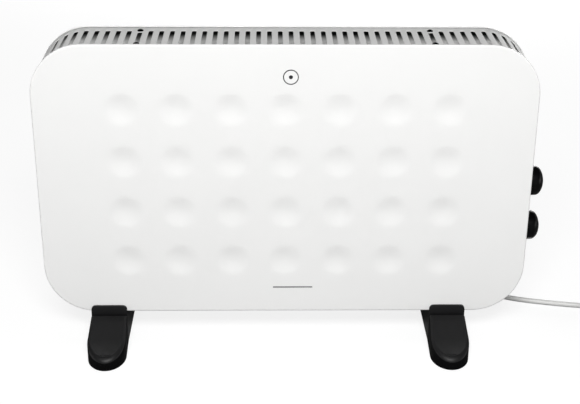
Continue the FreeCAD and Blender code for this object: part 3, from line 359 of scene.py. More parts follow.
def metalSheet(name, colour, second, roughness, spangle, stretch):
    # rolled or plated metal: crystals or rolling lines change its colour and gloss a little
    material, tree = newMaterial(name)
    place = addNode(tree, "ShaderNodeTexCoord").outputs["Object"]
    scaled = addNode(tree, "ShaderNodeMapping", {"Vector": place, "Scale": stretch})
    flakes = addNode(tree, "ShaderNodeTexVoronoi", {"Vector": scaled, "Scale": 1 / (spangle * mm)})
    level = addNode(tree, "ShaderNodeSeparateColor", {"Color": flakes.outputs["Color"]}).outputs
    look = variation(tree, level[0], level[1], (colour, second), roughness, 0.75, 1.3)
    return dress(material, {**look, "Metallic": 1.0})


def laminatedIron(name, colour, gap, sheetStep):
    # stamped silicon steel sheets stacked on edge: fine parallel lines with darker varnish between
    material, tree = newMaterial(name)
    place = addNode(tree, "ShaderNodeTexCoord").outputs["Object"]
    scale = 0.5 / (sheetStep * mm) / 3.1416
    lines = addNode(
        tree, "ShaderNodeTexWave",
        {"Vector": place, "Scale": scale, "Distortion": 0.4, "Detail Scale": 40.0}, bands_direction="X",
    ).outputs["Fac"]
    varnish = addNode(
        tree, "ShaderNodeTexNoise", {"Vector": place, "Scale": 1 / (6 * mm), "Detail": 3.0}
    ).outputs["Fac"]
    look = variation(tree, lines, varnish, (gap, colour), 1.0, 0.4, 0.7)
    bump = addNode(tree, "ShaderNodeBump", {"Height": lines, "Distance": 0.05 * mm, "Strength": 0.7})
    return dress(material, {**look, "Normal": bump, "Metallic": 1.0})


def pressedFlakes(name, colour, flake, roughness, size):
    # mica board: flakes glued and pressed flat, so patches of two tones with a silky gloss
    material, tree = newMaterial(name)
    place = addNode(tree, "ShaderNodeTexCoord").outputs["Object"]
    bend = addNode(
        tree, "ShaderNodeTexNoise", {"Vector": place, "Scale": 1 / (3 * size * mm), "Detail": 3.0}
    )
    reach = (size * mm,) * 3
    bent = addNode(tree, "ShaderNodeVectorMath", {0: bend.outputs["Color"], 1: reach}, operation="MULTIPLY")
    moved = addNode(tree, "ShaderNodeVectorMath", {0: place, 1: bent}, operation="ADD")
    flakes = addNode(tree, "ShaderNodeTexVoronoi", {"Vector": moved, "Scale": 1 / (size * mm)})
    level = addNode(tree, "ShaderNodeSeparateColor", {"Color": flakes.outputs["Color"]}).outputs
    look = variation(tree, level[0], level[2], (colour, flake), roughness, 0.7, 1.3)
    return dress(material, {**look, "IOR": 1.56})


def braidedSleeve(name, colour, shadow, pitch):
    # woven glass fibre sleeve: two crossing sets of fine threads
    material, tree = newMaterial(name)
    place = addNode(tree, "ShaderNodeTexCoord").outputs["Object"]
    threads = []
    for turn in (0.9, -0.9):
        turned = addNode(tree, "ShaderNodeMapping", {"Vector": place, "Rotation": (turn, 0.4, turn)})
        wave = addNode(tree, "ShaderNodeTexWave", {"Vector": turned, "Scale": 0.314 / (pitch * mm)})
        threads.append(wave.outputs["Fac"])
    weave = addNode(tree, "ShaderNodeMath", {0: threads[0], 1: threads[1]}, operation="MAXIMUM")
    tones = {0: weave, 6: fromHex(shadow), 7: fromHex(colour)}
    tint = addNode(tree, "ShaderNodeMix", tones, data_type="RGBA")
    bump = addNode(tree, "ShaderNodeBump", {"Height": weave, "Distance": 0.08 * mm, "Strength": 0.8})
    return dress(material, {"Base Color": tint.outputs[2], "Roughness": 0.75, "Normal": bump})


makeCamera()
makeLights()
makeFloor()
print("stage: camera, light and floor are set")

paintedSlotLight = {  # painted light from the outlet slots, millimetres below the outlet: where the white starts, is full, thins and ends
    "colour": "EDEDEC",
    "begins": (9.0, 17.0),
    "fades": (60.0, 110.0),
}
finishes = {
    "glossCoat": powderCoat("glossWhitePowderCoat", "F7F7F6", "F3F3F2", 0.24, 2.6, 0.012),
    "satinCoat": powderCoat("satinWhitePowderCoat", "F1F1F0", "EBEBEA", 0.34, 1.8, 0.015),
    # the grille takes the case's white paint, made darker as painted shade for the upward-facing top band
    "grilleShadedCoat": powderCoat("grilleWhitePowderCoatWithPaintedShade", "E6E6E5", "E0E0DF", 0.55, 1.8, 0.012, 0.2),
    # inside of the case: dark primer with painted shade just under the outlet and painted light from the
    # outlet slots below it
    "innerPrimerWithPaintedLight": primerWithPaintedSlotLight("greyPrimerWithPaintedSlotLight", "3C3C3B", paintedSlotLight, 0.55),
    "printInk": powderCoat("screenPrintedBlackInk", "1E1E1F", "27272A", 0.5, 0.7, 0.003),
    "indexPaint": powderCoat("padPrintedWhitePaint", "E4E4E2", "D8D8D6", 0.5, 0.7, 0.003),
    "blackFoot": mouldedPlastic("mouldedBlackPolypropylene", "0F0F10", "151516", 0.44, 0.5, 0.02, 0.24),
    # a darker, duller copy of the foot plastic for the feet's steep walls: painted shade
    "footWallPaintedShade": mouldedPlastic("blackPolypropyleneWithPaintedShade", "050505", "08080A", 0.6, 0.8, 0.04, 0.06),
    "blackKnob": mouldedPlastic("mouldedBlackAbs", "050506", "080809", 0.3, 0.4, 0.01, 0.15),
    "seamStrip": mouldedPlastic("extrudedBlackAbs", "0D0D0E", "131315", 0.5, 0.5, 0.01, 0.4),
    "whiteLead": mouldedPlastic("extrudedWhitePvc", "E6E6E4", "DEDEDC", 0.45, 0.8, 0.01, 0.5),
    "whitePlug": mouldedPlastic("mouldedWhitePvc", "E9E9E7", "E1E1DF", 0.5, 0.6, 0.02, 0.5),
    "naturalNylon": mouldedPlastic("mouldedNaturalPolyamide", "E2DCC8", "D8D1BA", 0.45, 0.6, 0.02, 0.5),
    "phenolic": mouldedPlastic("pressedBrownPhenolic", "2A1A12", "38241A", 0.35, 0.5, 0.01, 0.5),
    "ceramic": mouldedPlastic("glazedSteatite", "ECE6D6", "E2DAC6", 0.16, 1.4, 0.01, 0.5),
    "blackScrew": metalSheet("blackenedSteel", "0A0A0A", "121212", 0.35, 1.2, (1, 1, 1)),
    "zincScrew": metalSheet("zincPlatedSteel", "B4B8BC", "C6C9CA", 0.3, 1.6, (1, 1, 1)),
    "galvanised": metalSheet("galvanisedSteel", "A9ADAF", "BCC0C2", 0.4, 5.0, (1, 1, 1)),
    "brightSheet": metalSheet("aluminisedSteel", "C6C8C8", "D4D6D6", 0.28, 2.0, (0.15, 1, 1)),
    "heaterWire": metalSheet("drawnNickelChromeWire", "7D7872", "5F5A57", 0.4, 0.8, (0.3, 1, 1)),
    "nickel": metalSheet("nickelPlatedBrass", "C8C3B8", "D6D1C6", 0.22, 1.5, (0.3, 1, 1)),
    "brass": metalSheet("machinedBrass", "C2A05A", "CFAF6C", 0.26, 0.8, (0.2, 1, 1)),
    "castAluminium": metalSheet("stampedAluminium", "B9BCBE", "C9CCCE", 0.33, 1.8, (1, 1, 1)),
    "motorIron": laminatedIron("laminatedSiliconSteel", "8C8E90", "3C3A38", 0.8),
    "mica": pressedFlakes("pressedMicaBoard", "A8967A", "C9BBA0", 0.35, 4.0),
    "glassSleeve": braidedSleeve("wovenGlassFibreSleeve", "E4E0D2", "A79F8C", 0.6),
}
slotFinish = {
    "front_coat": "glossCoat",
    "case_coat": "satinCoat",
    "grille_coat": "grilleShadedCoat",
    "seam_plastic": "seamStrip",
    "foot_plastic": "blackFoot",
    "knob_plastic": "blackKnob",
    "screw_black": "blackScrew",
    "screw_zinc": "zincScrew",
    "inner_steel": "galvanised",
    "mica": "mica",
    "coil_wire": "heaterWire",
    "steatite": "ceramic",
    "cutout_case": "phenolic",
    "control_case": "naturalNylon",
    "spindle_metal": "nickel",
    "nut_brass": "brass",
    "motor_iron": "motorIron",
    "wheel_aluminium": "castAluminium",
    "terminal_plastic": "naturalNylon",
    "core_sleeve": "glassSleeve",
    "lead_pvc": "whiteLead",
    "plug_pvc": "whitePlug",
    "pin_plate": "nickel",
}
nodeFinish = {"heat_baffle": "brightSheet"}
print("stage: finishes are made")


def turnedPiece(name, profile, sides, start, axis):  # profile: (distance along, radius), millimetres
    side = Vector((0, 0, 1))
    cross = axis.cross(side)
    vertices, faces = [], []
    for along, radius in profile:
        for i in range(sides):
            a = 2 * math.pi * i / sides
            around = side * math.sin(a) + cross * math.cos(a)
            vertices.append(start + (axis * along + around * radius) * mm)
    for k in range(len(profile) - 1):
        for i in range(sides):
            j = (i + 1) % sides
            faces.append((k * sides + i, k * sides + j, (k + 1) * sides + j, (k + 1) * sides + i))
    piece = newPiece(name, vertices, faces)
    cleanMesh(piece)
    return piece


# strain relief and plug

relief = {  # millimetres, from the rear face outwards
    "seat": [(-4.0, 0.0), (-4.0, 4.4), (-3.6, 4.8), (0.0, 4.8)],
    "collar": 8.5,
    "collarLength": 2.5,
    "length": 34.0,
    "start": 5.6,
    "end": 3.8,
    "ribs": 7,
    "cut": 0.9,
    "sides": 40,
}
plug = {  # millimetres, from the pin face back along the lead
    "body": [
        (0.0, 0.0),
        (0.0, 15.4),
        (0.5, 15.9),
        (0.5, 17.2),
        (1.4, 18.3),
        (2.4, 18.5),
        (15.6, 18.5),
        (17.4, 18.2),
        (19.4, 17.0),
        (27.0, 13.0),
        (33.0, 9.6),
        (35.2, 8.0),
        (36.0, 6.6),
        (36.0, 6.0),
    ],
    "bodyLength": 36.0,
    "length": 60.0,
    "start": 6.0,
    "end": 3.8,
    "ribs": 6,
    "cut": 0.7,
    "sides": 72,
    "grips": 18,
    "gripRadius": 18.15,
    "gripMiddle": 9.5,
    "gripRib": ((-0.4, -0.5, -5.5), (0.3, 0.5, 5.5)),
    "gripRound": 0.2,
    "earthAcross": 17.5,
    "earthSlot": ((-2.0, -1.0, -3.0), (2.0, 11.0, 3.0)),
}


def ribbedTaper(shape, start):  # rings with slits between them, thinner towards the lead
    points = []
    end, cut = shape["length"], shape["cut"]
    pitch = (end - start) / shape["ribs"]
    drops = ((0.0, cut), (0.16, cut), (0.26, 0.15), (0.34, 0.0), (0.9, 0.0), (0.98, 0.15))
    for k in range(shape["ribs"]):
        for share, drop in drops:
            along = start + (k + share) * pitch
            radius = shape["start"] + (shape["end"] - shape["start"]) * (along - start) / (end - start)
            points.append((along, max(radius - drop, 0.0)))
    return points + [(end, shape["end"] - 0.35), (end, 0.0)]


def makeStrainRelief():
    low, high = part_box("strain_relief")
    start = Vector(((low.x + high.x) / 2, caseHigh.y, (low.z + high.z) / 2))
    collar, length = relief["collar"], relief["collarLength"]
    profile = relief["seat"] + [(0.0, collar - 0.3), (0.3, collar), (length - 0.8, collar)]
    profile += [(length - 0.2, collar - 0.5), (length, collar - 1.2), (length, 6.0)]
    profile += ribbedTaper(relief, length)
    piece = turnedPiece("strainRelief", profile, relief["sides"], start, Vector((0, 1, 0)))
    setMaterial(piece, finishes["whiteLead"])
    shade(piece, 35)
    settle(piece, "casing", "lead_pvc", "strain_relief")


def gripTree():  # upright grip ribs round the plug, one instance on each place
    tree, given = newTree(
        "gripRibs",
        {
            "Int": ["Count"], "Float": ["Radius"], "Vector": ["Middle"], "Object": ["Rib"],
            "Material": ["Finish"],
        },
    )
    ring = addNode(tree, "GeometryNodeMeshCircle", {"Vertices": given["Count"], "Radius": given["Radius"]})
    place = addNode(tree, "GeometryNodeInputPosition")
    outward = addNode(tree, "FunctionNodeAlignEulerToVector", {"Vector": place}, axis="X")
    rib = addNode(tree, "GeometryNodeObjectInfo", {"Object": given["Rib"]})
    ribs = addNode(
        tree, "GeometryNodeInstanceOnPoints",
        {"Points": ring, "Instance": rib.outputs["Geometry"], "Rotation": outward},
    )
    laid = addNode(
        tree, "GeometryNodeTransform",
        {"Geometry": ribs, "Translation": given["Middle"], "Rotation": (-math.pi / 2, 0, 0)},
    )
    joined = addNode(tree, "GeometryNodeJoinGeometry", {0: [laid, given["Geometry"]]})
    closeTree(tree, joined, given["Finish"])
    return tree


def makePlug():
    low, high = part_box("plug_body")
    start = Vector(((low.x + high.x) / 2, low.y, (low.z + high.z) / 2))
    profile = plug["body"] + ribbedTaper(plug, plug["bodyLength"])
    body = turnedPiece("plugBody", profile, plug["sides"], start, Vector((0, 1, 0)))
    slots = []
    for side in (-1, 1):
        middle = start + Vector((side * plug["earthAcross"] * mm, 0, 0))
        slots.append([middle + Vector(corner) * mm for corner in plug["earthSlot"]])
    cutter = boxMesh("earthSlots", slots)
    cut = body.modifiers.new("earthSlots", "BOOLEAN")
    cut.operation = "DIFFERENCE"
    cut.solver = "EXACT"
    cut.object = cutter
    applyModifiers(body)
    bpy.data.objects.remove(cutter)
    rib = boxMesh("gripRib", [[Vector(corner) * mm for corner in plug["gripRib"]]])
    softened = rib.modifiers.new("softRib", "BEVEL")
    softened.width = plug["gripRound"] * mm
    softened.segments = 2
    applyModifiers(rib)
    runTree(
        body, gripTree(),
        {
            "Count": plug["grips"], "Radius": plug["gripRadius"] * mm,
            "Middle": (start.x, start.y + plug["gripMiddle"] * mm, start.z), "Rib": rib,
            "Finish": finishes["whitePlug"],
        },
    )
    bpy.data.objects.remove(rib)
    shade(body, 35)
    settle(body, "casing", "plug_pvc", "plug_body")
    return body


makeStrainRelief()
plugBody = makePlug()
print("stage: strain relief and plug are moulded")

# mains lead

lead = {  # metres; the same route as the solid's, then the coil and the plug
    "diameter": 0.0062,
    "length": 1.51,
    "route": [
        (0.105, 0.069, 0.075),
        (0.105, 0.096, 0.075),
        (0.114, 0.122, 0.060),
        (0.133, 0.137, 0.036),
        (0.160, 0.138, 0.014),
        (0.192, 0.124, 0.00315),
        (0.220, 0.100, 0.00315),
        (0.244, 0.074, 0.00315),
        (0.272, 0.057, 0.00315),
        (0.312, 0.0465, 0.00315),
        (0.352, 0.0385, 0.00315),
    ],
    "tail": [(0.427, -0.041, 0.012), (0.433, -0.055, 0.0185), (0.433, -0.068, 0.0185)],
    "coilCentre": (0.394, -0.006),
    "columns": (0.0393, 0.0330, 0.0267),
    "layers": (0.00315, 0.00945),
    "pointsPerTurn": 16,
}


def easeStep(value, start, end):
    share = min(1.0, max(0.0, (value - start) / (end - start)))
    return share * share * (3 - 2 * share)


def coilRadius(angle):  # three turns inwards on the floor, then outwards on top of them
    outer, middle, inner = lead["columns"]
    radius = outer + (middle - outer) * easeStep(angle, 300, 360)
    radius += (inner - middle) * easeStep(angle, 660, 720)
    radius += (middle - inner) * easeStep(angle, 1245, 1310)
    return radius + (outer - middle) * easeStep(angle, 1605, 1670)


def coilHeight(angle):
    low, high = lead["layers"]
    return low + (high - low) * easeStep(angle, 950, 1015)


def makeLead():
    centreX, centreY = lead["coilCentre"]
    step = 360 / lead["pointsPerTurn"]
    outwards = 1 / math.cos(math.radians(step / 2))  # the spline runs inside its points
    points = list(lead["route"])
    angle = 0.0
    while angle < 1920:
        radius = coilRadius(angle) * outwards
        way = math.radians(angle)
        place = (centreX + radius * math.sin(way), centreY + radius * math.cos(way))
        points.append((*place, coilHeight(angle)))
        angle += step
    points += lead["tail"]
    curve = bpy.data.curves.new("mainsLead", "CURVE")
    curve.dimensions = "3D"
    spline = curve.splines.new("NURBS")
    spline.points.add(len(points) - 1)
    for point, place in zip(spline.points, points):
        point.co = (*place, 1.0)
    spline.order_u = 3
    spline.use_endpoint_u = True
    spline.resolution_u = 6
    curve.bevel_depth = lead["diameter"] / 2
    curve.bevel_resolution = 4
    curve.use_fill_caps = True
    piece = bpy.data.objects.new("mainsLead", curve)
    bpy.context.scene.collection.objects.link(piece)
    curve.materials.append(finishes["whiteLead"])
    settle(piece, "casing", "lead_pvc", "supply_cord", "cord_coil", "cord_tail")
    return piece


mainsLead = makeLead()
print("stage: mains lead is laid")

# folded steel trays, front and rear

frontPress = {  # millimetres, the shallow round dimples
    "columns": 7,
    "rows": 4,
    "pitchAcross": 57.2,
    "pitchUp": 58.4,
    "lowest": 64.0,
    "radius": 19.0,
    "depth": 2.2,
    "fullness": 1.6,
    "gridAcross": 2.9,
    "gridUp": 2.6,
    "flange": 11.5,
}
rearSlots = {  # millimetres; the lowest end is measured from the case's middle
    "columns": 26,
    "rows": 3,
    "pitchAcross": 15.0,
    "pitchUp": 44.0,
    "width": 4.9,
    "length": 34.0,
    "lowest": -96.0,
    "flange": 9.5,
    "grid": 12.0,
}
rearTab = {"width": 14.0, "start": 8.0}  # millimetres; the start is measured from the rear face
screwRows = {  # millimetres: front and back row, and places along the case
    "front": -28.3,
    "back": 19.0,
    "grille": (-153.3, 153.3),
    "levels": (96.5, 285.0),
    "below": (-66.0, 66.0, 206.0),
}


def trayRows(levels):  # (height, half width) of each row: the corners are rounded
    inset = caseShape["rimRound"] * mm
    cornerTop = halfHeight - cornerRadius
    radius = cornerRadius - inset
    straight = halfWidth - cornerRadius
    over = [abs(z) - cornerTop for z in levels if 0 < abs(z) - cornerTop < 4 * mm]
    inCorner = {math.asin(rise / radius) for rise in over}
    bends = sorted({math.radians(a) for a in evenly(0, 90, 3)} | inCorner)
    corner = [(cornerTop + radius * math.sin(a), straight + radius * math.cos(a)) for a in bends]
    inner = [z for z in levels if -cornerTop + 1e-5 < z < cornerTop - 1e-5]
    middle = [(z, straight + radius) for z in inner]
    return [(-z, w) for z, w in reversed(corner)] + middle + corner


def trayMesh(name, faceY, way, columns, levels, flange, skip=None):
    # face, rolled rim and inner side as one closed skin, then the flange as a second one
    inset = caseShape["rimRound"] * mm
    rows = trayRows(levels)
    reach = halfWidth - inset
    across = len(columns)
    vertices, faces = [], []

    def addGrid(y, flip):
        first = len(vertices)
        for z, width in rows:
            vertices.extend((x / reach * width, y, midHeight + z) for x in columns)
        for j in range(len(rows) - 1):
            for i in range(across - 1):
                if skip and skip(columns[i] + 1e-5, rows[j][0] + 1e-5):
                    continue
                a = first + j * across + i
                quad = (a, a + 1, a + across + 1, a + across)
                faces.append(tuple(reversed(quad)) if flip else quad)
        return first

    def edgeLoop(first):  # corner vertices of the grid, in order round the outline
        last = len(rows) - 1
        loop = [(first + j * across + across - 1, j, 1) for j in range(last)]
        loop += [(first + last * across + i, last, 0) for i in range(across - 1, 0, -1)]
        loop += [(first + j * across, j, -1) for j in range(last, 0, -1)]
        return loop + [(first + i, 0, 0) for i in range(across - 1)]

    def outward(j, side):
        cornerTop = halfHeight - cornerRadius
        z = rows[j][0]
        if side == 0:
            return (0.0, math.copysign(1.0, z))
        lift = max(0.0, abs(z) - cornerTop) / (cornerRadius - inset)
        return (side * math.sqrt(max(0.0, 1 - lift * lift)), math.copysign(min(1.0, lift), z))

    front = addGrid(faceY, way > 0)
    back = addGrid(faceY + way * -sheet, way < 0)
    loop = edgeLoop(front)
    normals = [outward(j, side) for _, j, side in loop]
    bases = [vertices[i] for i, _, _ in loop]
    roll, depth = inset, caseShape["rimDepth"] * mm
    profile = []
    for a in evenly(0, 90, 15)[1:]:
        turn = math.radians(a)
        profile.append((roll * math.sin(turn), roll * (1 - math.cos(turn))))
    lip = 0.2 * mm
    profile += [(roll, depth - lip), (roll - lip, depth), (roll - sheet + lip, depth)]
    profile += [(roll - sheet, depth - lip), (roll - sheet, inset)]
    profile.append((roll - sheet - lip, sheet + 1.5 * lip))
    rings = [[i for i, _, _ in loop]]
    for out, behind in profile:
        start = len(vertices)
        for (nx, nz), (x, _, z) in zip(normals, bases):
            vertices.append((x + nx * out, faceY - way * behind, z + nz * out))
        rings.append(list(range(start, start + len(loop))))
    rings.append([i for i, _, _ in edgeLoop(back)])
    count = len(loop)
    for ringA, ringB in zip(rings, rings[1:]):
        for i in range(count):
            j = (i + 1) % count
            quad = (ringA[i], ringB[i], ringB[j], ringA[j])
            faces.append(quad if way > 0 else tuple(reversed(quad)))

    flangeInset = caseShape["bandInset"] * mm + sheet + caseShape["flangeGap"] * mm
    section = [
        (inset - flangeInset, sheet), (inset - flangeInset, flange), (inset - flangeInset - sheet, flange),
        (inset - flangeInset - sheet, sheet),
    ]
    starts = []
    for out, behind in section:
        starts.append(len(vertices))
        for (nx, nz), (x, _, z) in zip(normals, bases):
            vertices.append((x + nx * out, faceY - way * behind, z + nz * out))
    for a, b in zip(starts, starts[1:] + starts[:1]):
        for i in range(count):
            j = (i + 1) % count
            quad = (a + i, b + i, b + j, a + j)
            faces.append(quad if way > 0 else tuple(reversed(quad)))
    return newPiece(name, vertices, faces)


def pressTree():  # moves a flat sheet in by the shape of the nearest dimple
    tree, given = newTree(
        "pressDimples",
        {
            "Int": ["Columns", "Rows"],
            "Float": [
                "Pitch Across", "Pitch Up", "First Across", "First Up", "Radius", "Depth", "Fullness",
                "Back Of Face",
            ],
            "Material": ["Finish"],
        },
    )
    place = addNode(tree, "GeometryNodeInputPosition")
    axes = addNode(tree, "ShaderNodeSeparateXYZ", {0: place})
    gaps = []
    for axis, first, pitch, number in (
        (0, "First Across", "Pitch Across", "Columns"), (2, "First Up", "Pitch Up", "Rows")
    ):
        along = addNode(
            tree, "ShaderNodeMath", {0: axes.outputs[axis], 1: given[first]}, operation="SUBTRACT"
        )
        share = addNode(tree, "ShaderNodeMath", {0: along, 1: given[pitch]}, operation="DIVIDE")
        nearest = addNode(tree, "ShaderNodeMath", {0: share}, operation="ROUND")
        last = addNode(tree, "ShaderNodeMath", {0: given[number], 1: 1.0}, operation="SUBTRACT")
        held = addNode(tree, "ShaderNodeClamp", {"Value": nearest, "Min": 0.0, "Max": last})
        centre = addNode(tree, "ShaderNodeMath", {0: held, 1: given[pitch]}, operation="MULTIPLY")
        gaps.append(addNode(tree, "ShaderNodeMath", {0: along, 1: centre}, operation="SUBTRACT"))
    gap = addNode(tree, "ShaderNodeCombineXYZ", {0: gaps[0], 1: gaps[1]})
    away = addNode(tree, "ShaderNodeVectorMath", {0: gap}, operation="LENGTH")
    share = addNode(
        tree, "ShaderNodeMath", {0: away.outputs["Value"], 1: given["Radius"]}, operation="DIVIDE"
    )
    square = addNode(tree, "ShaderNodeMath", {0: share, 1: 2.0}, operation="POWER")
    left = addNode(tree, "ShaderNodeMath", {0: 1.0, 1: square}, operation="SUBTRACT", use_clamp=True)
    bowl = addNode(tree, "ShaderNodeMath", {0: left, 1: given["Fullness"]}, operation="POWER")
    sink = addNode(tree, "ShaderNodeMath", {0: bowl, 1: given["Depth"]}, operation="MULTIPLY")
    nearFace = addNode(
        tree, "ShaderNodeMath", {0: axes.outputs[1], 1: given["Back Of Face"]}, operation="LESS_THAN"
    )
    move = addNode(
        tree, "ShaderNodeCombineXYZ",
        {1: addNode(tree, "ShaderNodeMath", {0: sink, 1: nearFace}, operation="MULTIPLY")},
    )
    pressed = addNode(tree, "GeometryNodeSetPosition", {"Geometry": given["Geometry"], "Offset": move})
    closeTree(tree, pressed, given["Finish"])
    return tree


def primeInsideWithPaintedLight(tray, way):  # the inner faces carry only the primer, with its painted shade under the outlet and painted light below it
    tray.data.materials.append(finishes["innerPrimerWithPaintedLight"])
    face = (caseLow.y if way < 0 else caseHigh.y) - way * 0.9 * sheet
    rim, flangeStart = 1.9 * mm, 2.2 * mm
    for polygon in tray.data.polygons:
        x, y, z = polygon.center
        inside = (y - face) * way <= 0
        onRim = abs(x) > halfWidth - rim or abs(z - midHeight) > halfHeight - rim
        facesIn = polygon.normal.y * way < -0.5 or abs(y - face) > flangeStart
        if inside and facesIn and not onRim:
            polygon.material_index = 1


def makeFrontPanel():
    reach = halfWidth - caseShape["rimRound"] * mm
    columns = evenly(-reach, reach, frontPress["gridAcross"] * mm)
    levels = evenly(-halfHeight, halfHeight, frontPress["gridUp"] * mm)
    panel = trayMesh("frontPanel", caseLow.y, -1, columns, levels, frontPress["flange"] * mm)
    runTree(
        panel, pressTree(),
        {
            "Columns": frontPress["columns"], "Rows": frontPress["rows"],
            "Pitch Across": frontPress["pitchAcross"] * mm, "Pitch Up": frontPress["pitchUp"] * mm,
            "First Across": -(frontPress["columns"] - 1) / 2 * frontPress["pitchAcross"] * mm,
            "First Up": caseLow.z + frontPress["lowest"] * mm, "Radius": frontPress["radius"] * mm,
            "Depth": frontPress["depth"] * mm, "Fullness": frontPress["fullness"],
            "Back Of Face": caseLow.y + 1.2 * sheet, "Finish": finishes["glossCoat"],
        },
    )
    primeInsideWithPaintedLight(panel, -1)
    shade(panel, 40)
    settle(panel, "casing", "front_coat", "front_panel")


# slotted sheet: one punched cell, repeated side by side


def slotHalfWidth(y, slot):
    radius, low, high = slot
    if y <= low or y >= high:
        return 0.0
    end = min(y - low, high - y, radius)
    return math.sqrt(max(0.0, radius * radius - (radius - end) ** 2))


def slotStations(slots, low, high):
    values = {round(low, 7), round(high, 7)}
    for radius, start, end in slots:
        for a in evenly(0, 90, 18):
            rise = radius * (1 - math.cos(math.radians(a)))
            values |= {round(start + rise, 7), round(end - rise, 7)}
    return sorted(values)


def slotCell(name, pitch, stations, slot, thickness, endWalls=True):
    # flat cell, top at z 0; the slot's edge is rolled over a little as a punch leaves it
    radius, low, high = slot
    rolled = 0.2 * mm
    vertices, faces = [], []

    def edgePoint(y, side, out, z):
        half = slotHalfWidth(y, slot)
        centre = min(max(y, low + radius), high - radius)
        nx, ny = side * half / radius, (y - centre) / radius
        return (side * half + nx * out, y + ny * out, z)

    inside = [y for y in stations if low - 1e-6 <= y <= high + 1e-6]
    before = [y for y in stations if y < low - 1e-6]
    after = [y for y in stations if y > high + 1e-6]

    def addFace(points, flip):
        start = len(vertices)
        vertices.extend(points)
        order = list(range(start, start + len(points)))
        faces.append(tuple(reversed(order)) if flip else tuple(order))

    for z, flip, out in ((0.0, False, rolled), (-thickness, True, 0.0)):
        for side in (-1, 1):
            turned = flip if side > 0 else not flip
            edge = side * pitch / 2
            rim = [edgePoint(y, side, out, z) for y in inside]
            lines = [((0, y, z), (edge, y, z)) for y in before]
            lines += [(p, (edge, y, z)) for p, y in zip(rim, inside)]
            lines += [((0, y, z), (edge, y, z)) for y in after]
            for (a, b), (c, d) in zip(lines, lines[1:]):
                addFace([a, b, d, c], turned)
    walls = ((rolled, 0.0), (0.3 * rolled, -0.3 * rolled), (0.0, -rolled), (0.0, -thickness))
    for side in (-1, 1):
        for (outA, zA), (outB, zB) in zip(walls, walls[1:]):
            for y0, y1 in zip(inside, inside[1:]):
                corners = [
                    edgePoint(y0, side, outA, zA), edgePoint(y1, side, outA, zA),
                    edgePoint(y1, side, outB, zB), edgePoint(y0, side, outB, zB),
                ]
                addFace(corners, side < 0)
    for y, flip in ((stations[0], False), (stations[-1], True)) if endWalls else ():
        for side in (-1, 1):
            edge = side * pitch / 2
            corners = [(0, y, 0), (edge, y, 0), (edge, y, -thickness), (0, y, -thickness)]
            addFace(corners, (side > 0) != flip)
    cell = newPiece(name, vertices, faces)
    cleanMesh(cell, 1e-6, False)
    return cell


def bandGrid(name, along, stations, thickness, closedEnds):
    # plain stretches of the band: columns at the given lengths, rows at the stations
    vertices = [(x, y, z) for z in (0.0, -thickness) for x in along for y in stations]
    rows, layer = len(stations), len(along) * len(stations)
    faces = []
    for i in range(len(along) - 1):
        for j in range(rows - 1):
            a = i * rows + j
            top = (a, a + rows, a + rows + 1, a + 1)
            faces += [top, tuple(layer + k for k in reversed(top))]
        for j, flip in ((0, False), (rows - 1, True)):
            a = i * rows + j
            wall = (a, layer + a, layer + a + rows, a + rows)
            faces.append(tuple(reversed(wall)) if flip else wall)
    for i, flip, wanted in ((0, True, closedEnds[0]), (len(along) - 1, False, closedEnds[1])):
        for j in range(rows - 1) if wanted else []:
            a = i * rows + j
            wall = (a, layer + a, layer + a + 1, a + 1)
            faces.append(tuple(reversed(wall)) if flip else wall)
    return newPiece(name, vertices, faces)


def addBend(tree, geometry, flatHalf, pitchRadius, surfaceRadius, top):
    # wraps the flat strip round both top corners of the case
    place = addNode(tree, "GeometryNodeInputPosition")
    axes = addNode(tree, "ShaderNodeSeparateXYZ", {0: place})
    side = addNode(tree, "ShaderNodeMath", {0: axes.outputs[0]}, operation="SIGN")
    reach = addNode(tree, "ShaderNodeMath", {0: axes.outputs[0]}, operation="ABSOLUTE")
    flat = addNode(tree, "ShaderNodeMath", {0: reach, 1: flatHalf}, operation="MINIMUM")
    over = addNode(tree, "ShaderNodeMath", {0: reach, 1: flat}, operation="SUBTRACT")
    angle = addNode(tree, "ShaderNodeMath", {0: over, 1: pitchRadius}, operation="DIVIDE")
    radius = addNode(tree, "ShaderNodeMath", {0: surfaceRadius, 1: axes.outputs[2]}, operation="ADD")
    sine = addNode(tree, "ShaderNodeMath", {0: angle}, operation="SINE")
    cosine = addNode(tree, "ShaderNodeMath", {0: angle}, operation="COSINE")
    out = addNode(tree, "ShaderNodeMath", {0: radius, 1: sine, 2: flat}, operation="MULTIPLY_ADD")
    across = addNode(tree, "ShaderNodeMath", {0: out, 1: side}, operation="MULTIPLY")
    centre = addNode(tree, "ShaderNodeMath", {0: top, 1: surfaceRadius}, operation="SUBTRACT")
    up = addNode(tree, "ShaderNodeMath", {0: radius, 1: cosine, 2: centre}, operation="MULTIPLY_ADD")
    bent = addNode(tree, "ShaderNodeCombineXYZ", {0: across, 1: axes.outputs[1], 2: up})
    return addNode(tree, "GeometryNodeSetPosition", {"Geometry": geometry, "Position": bent})


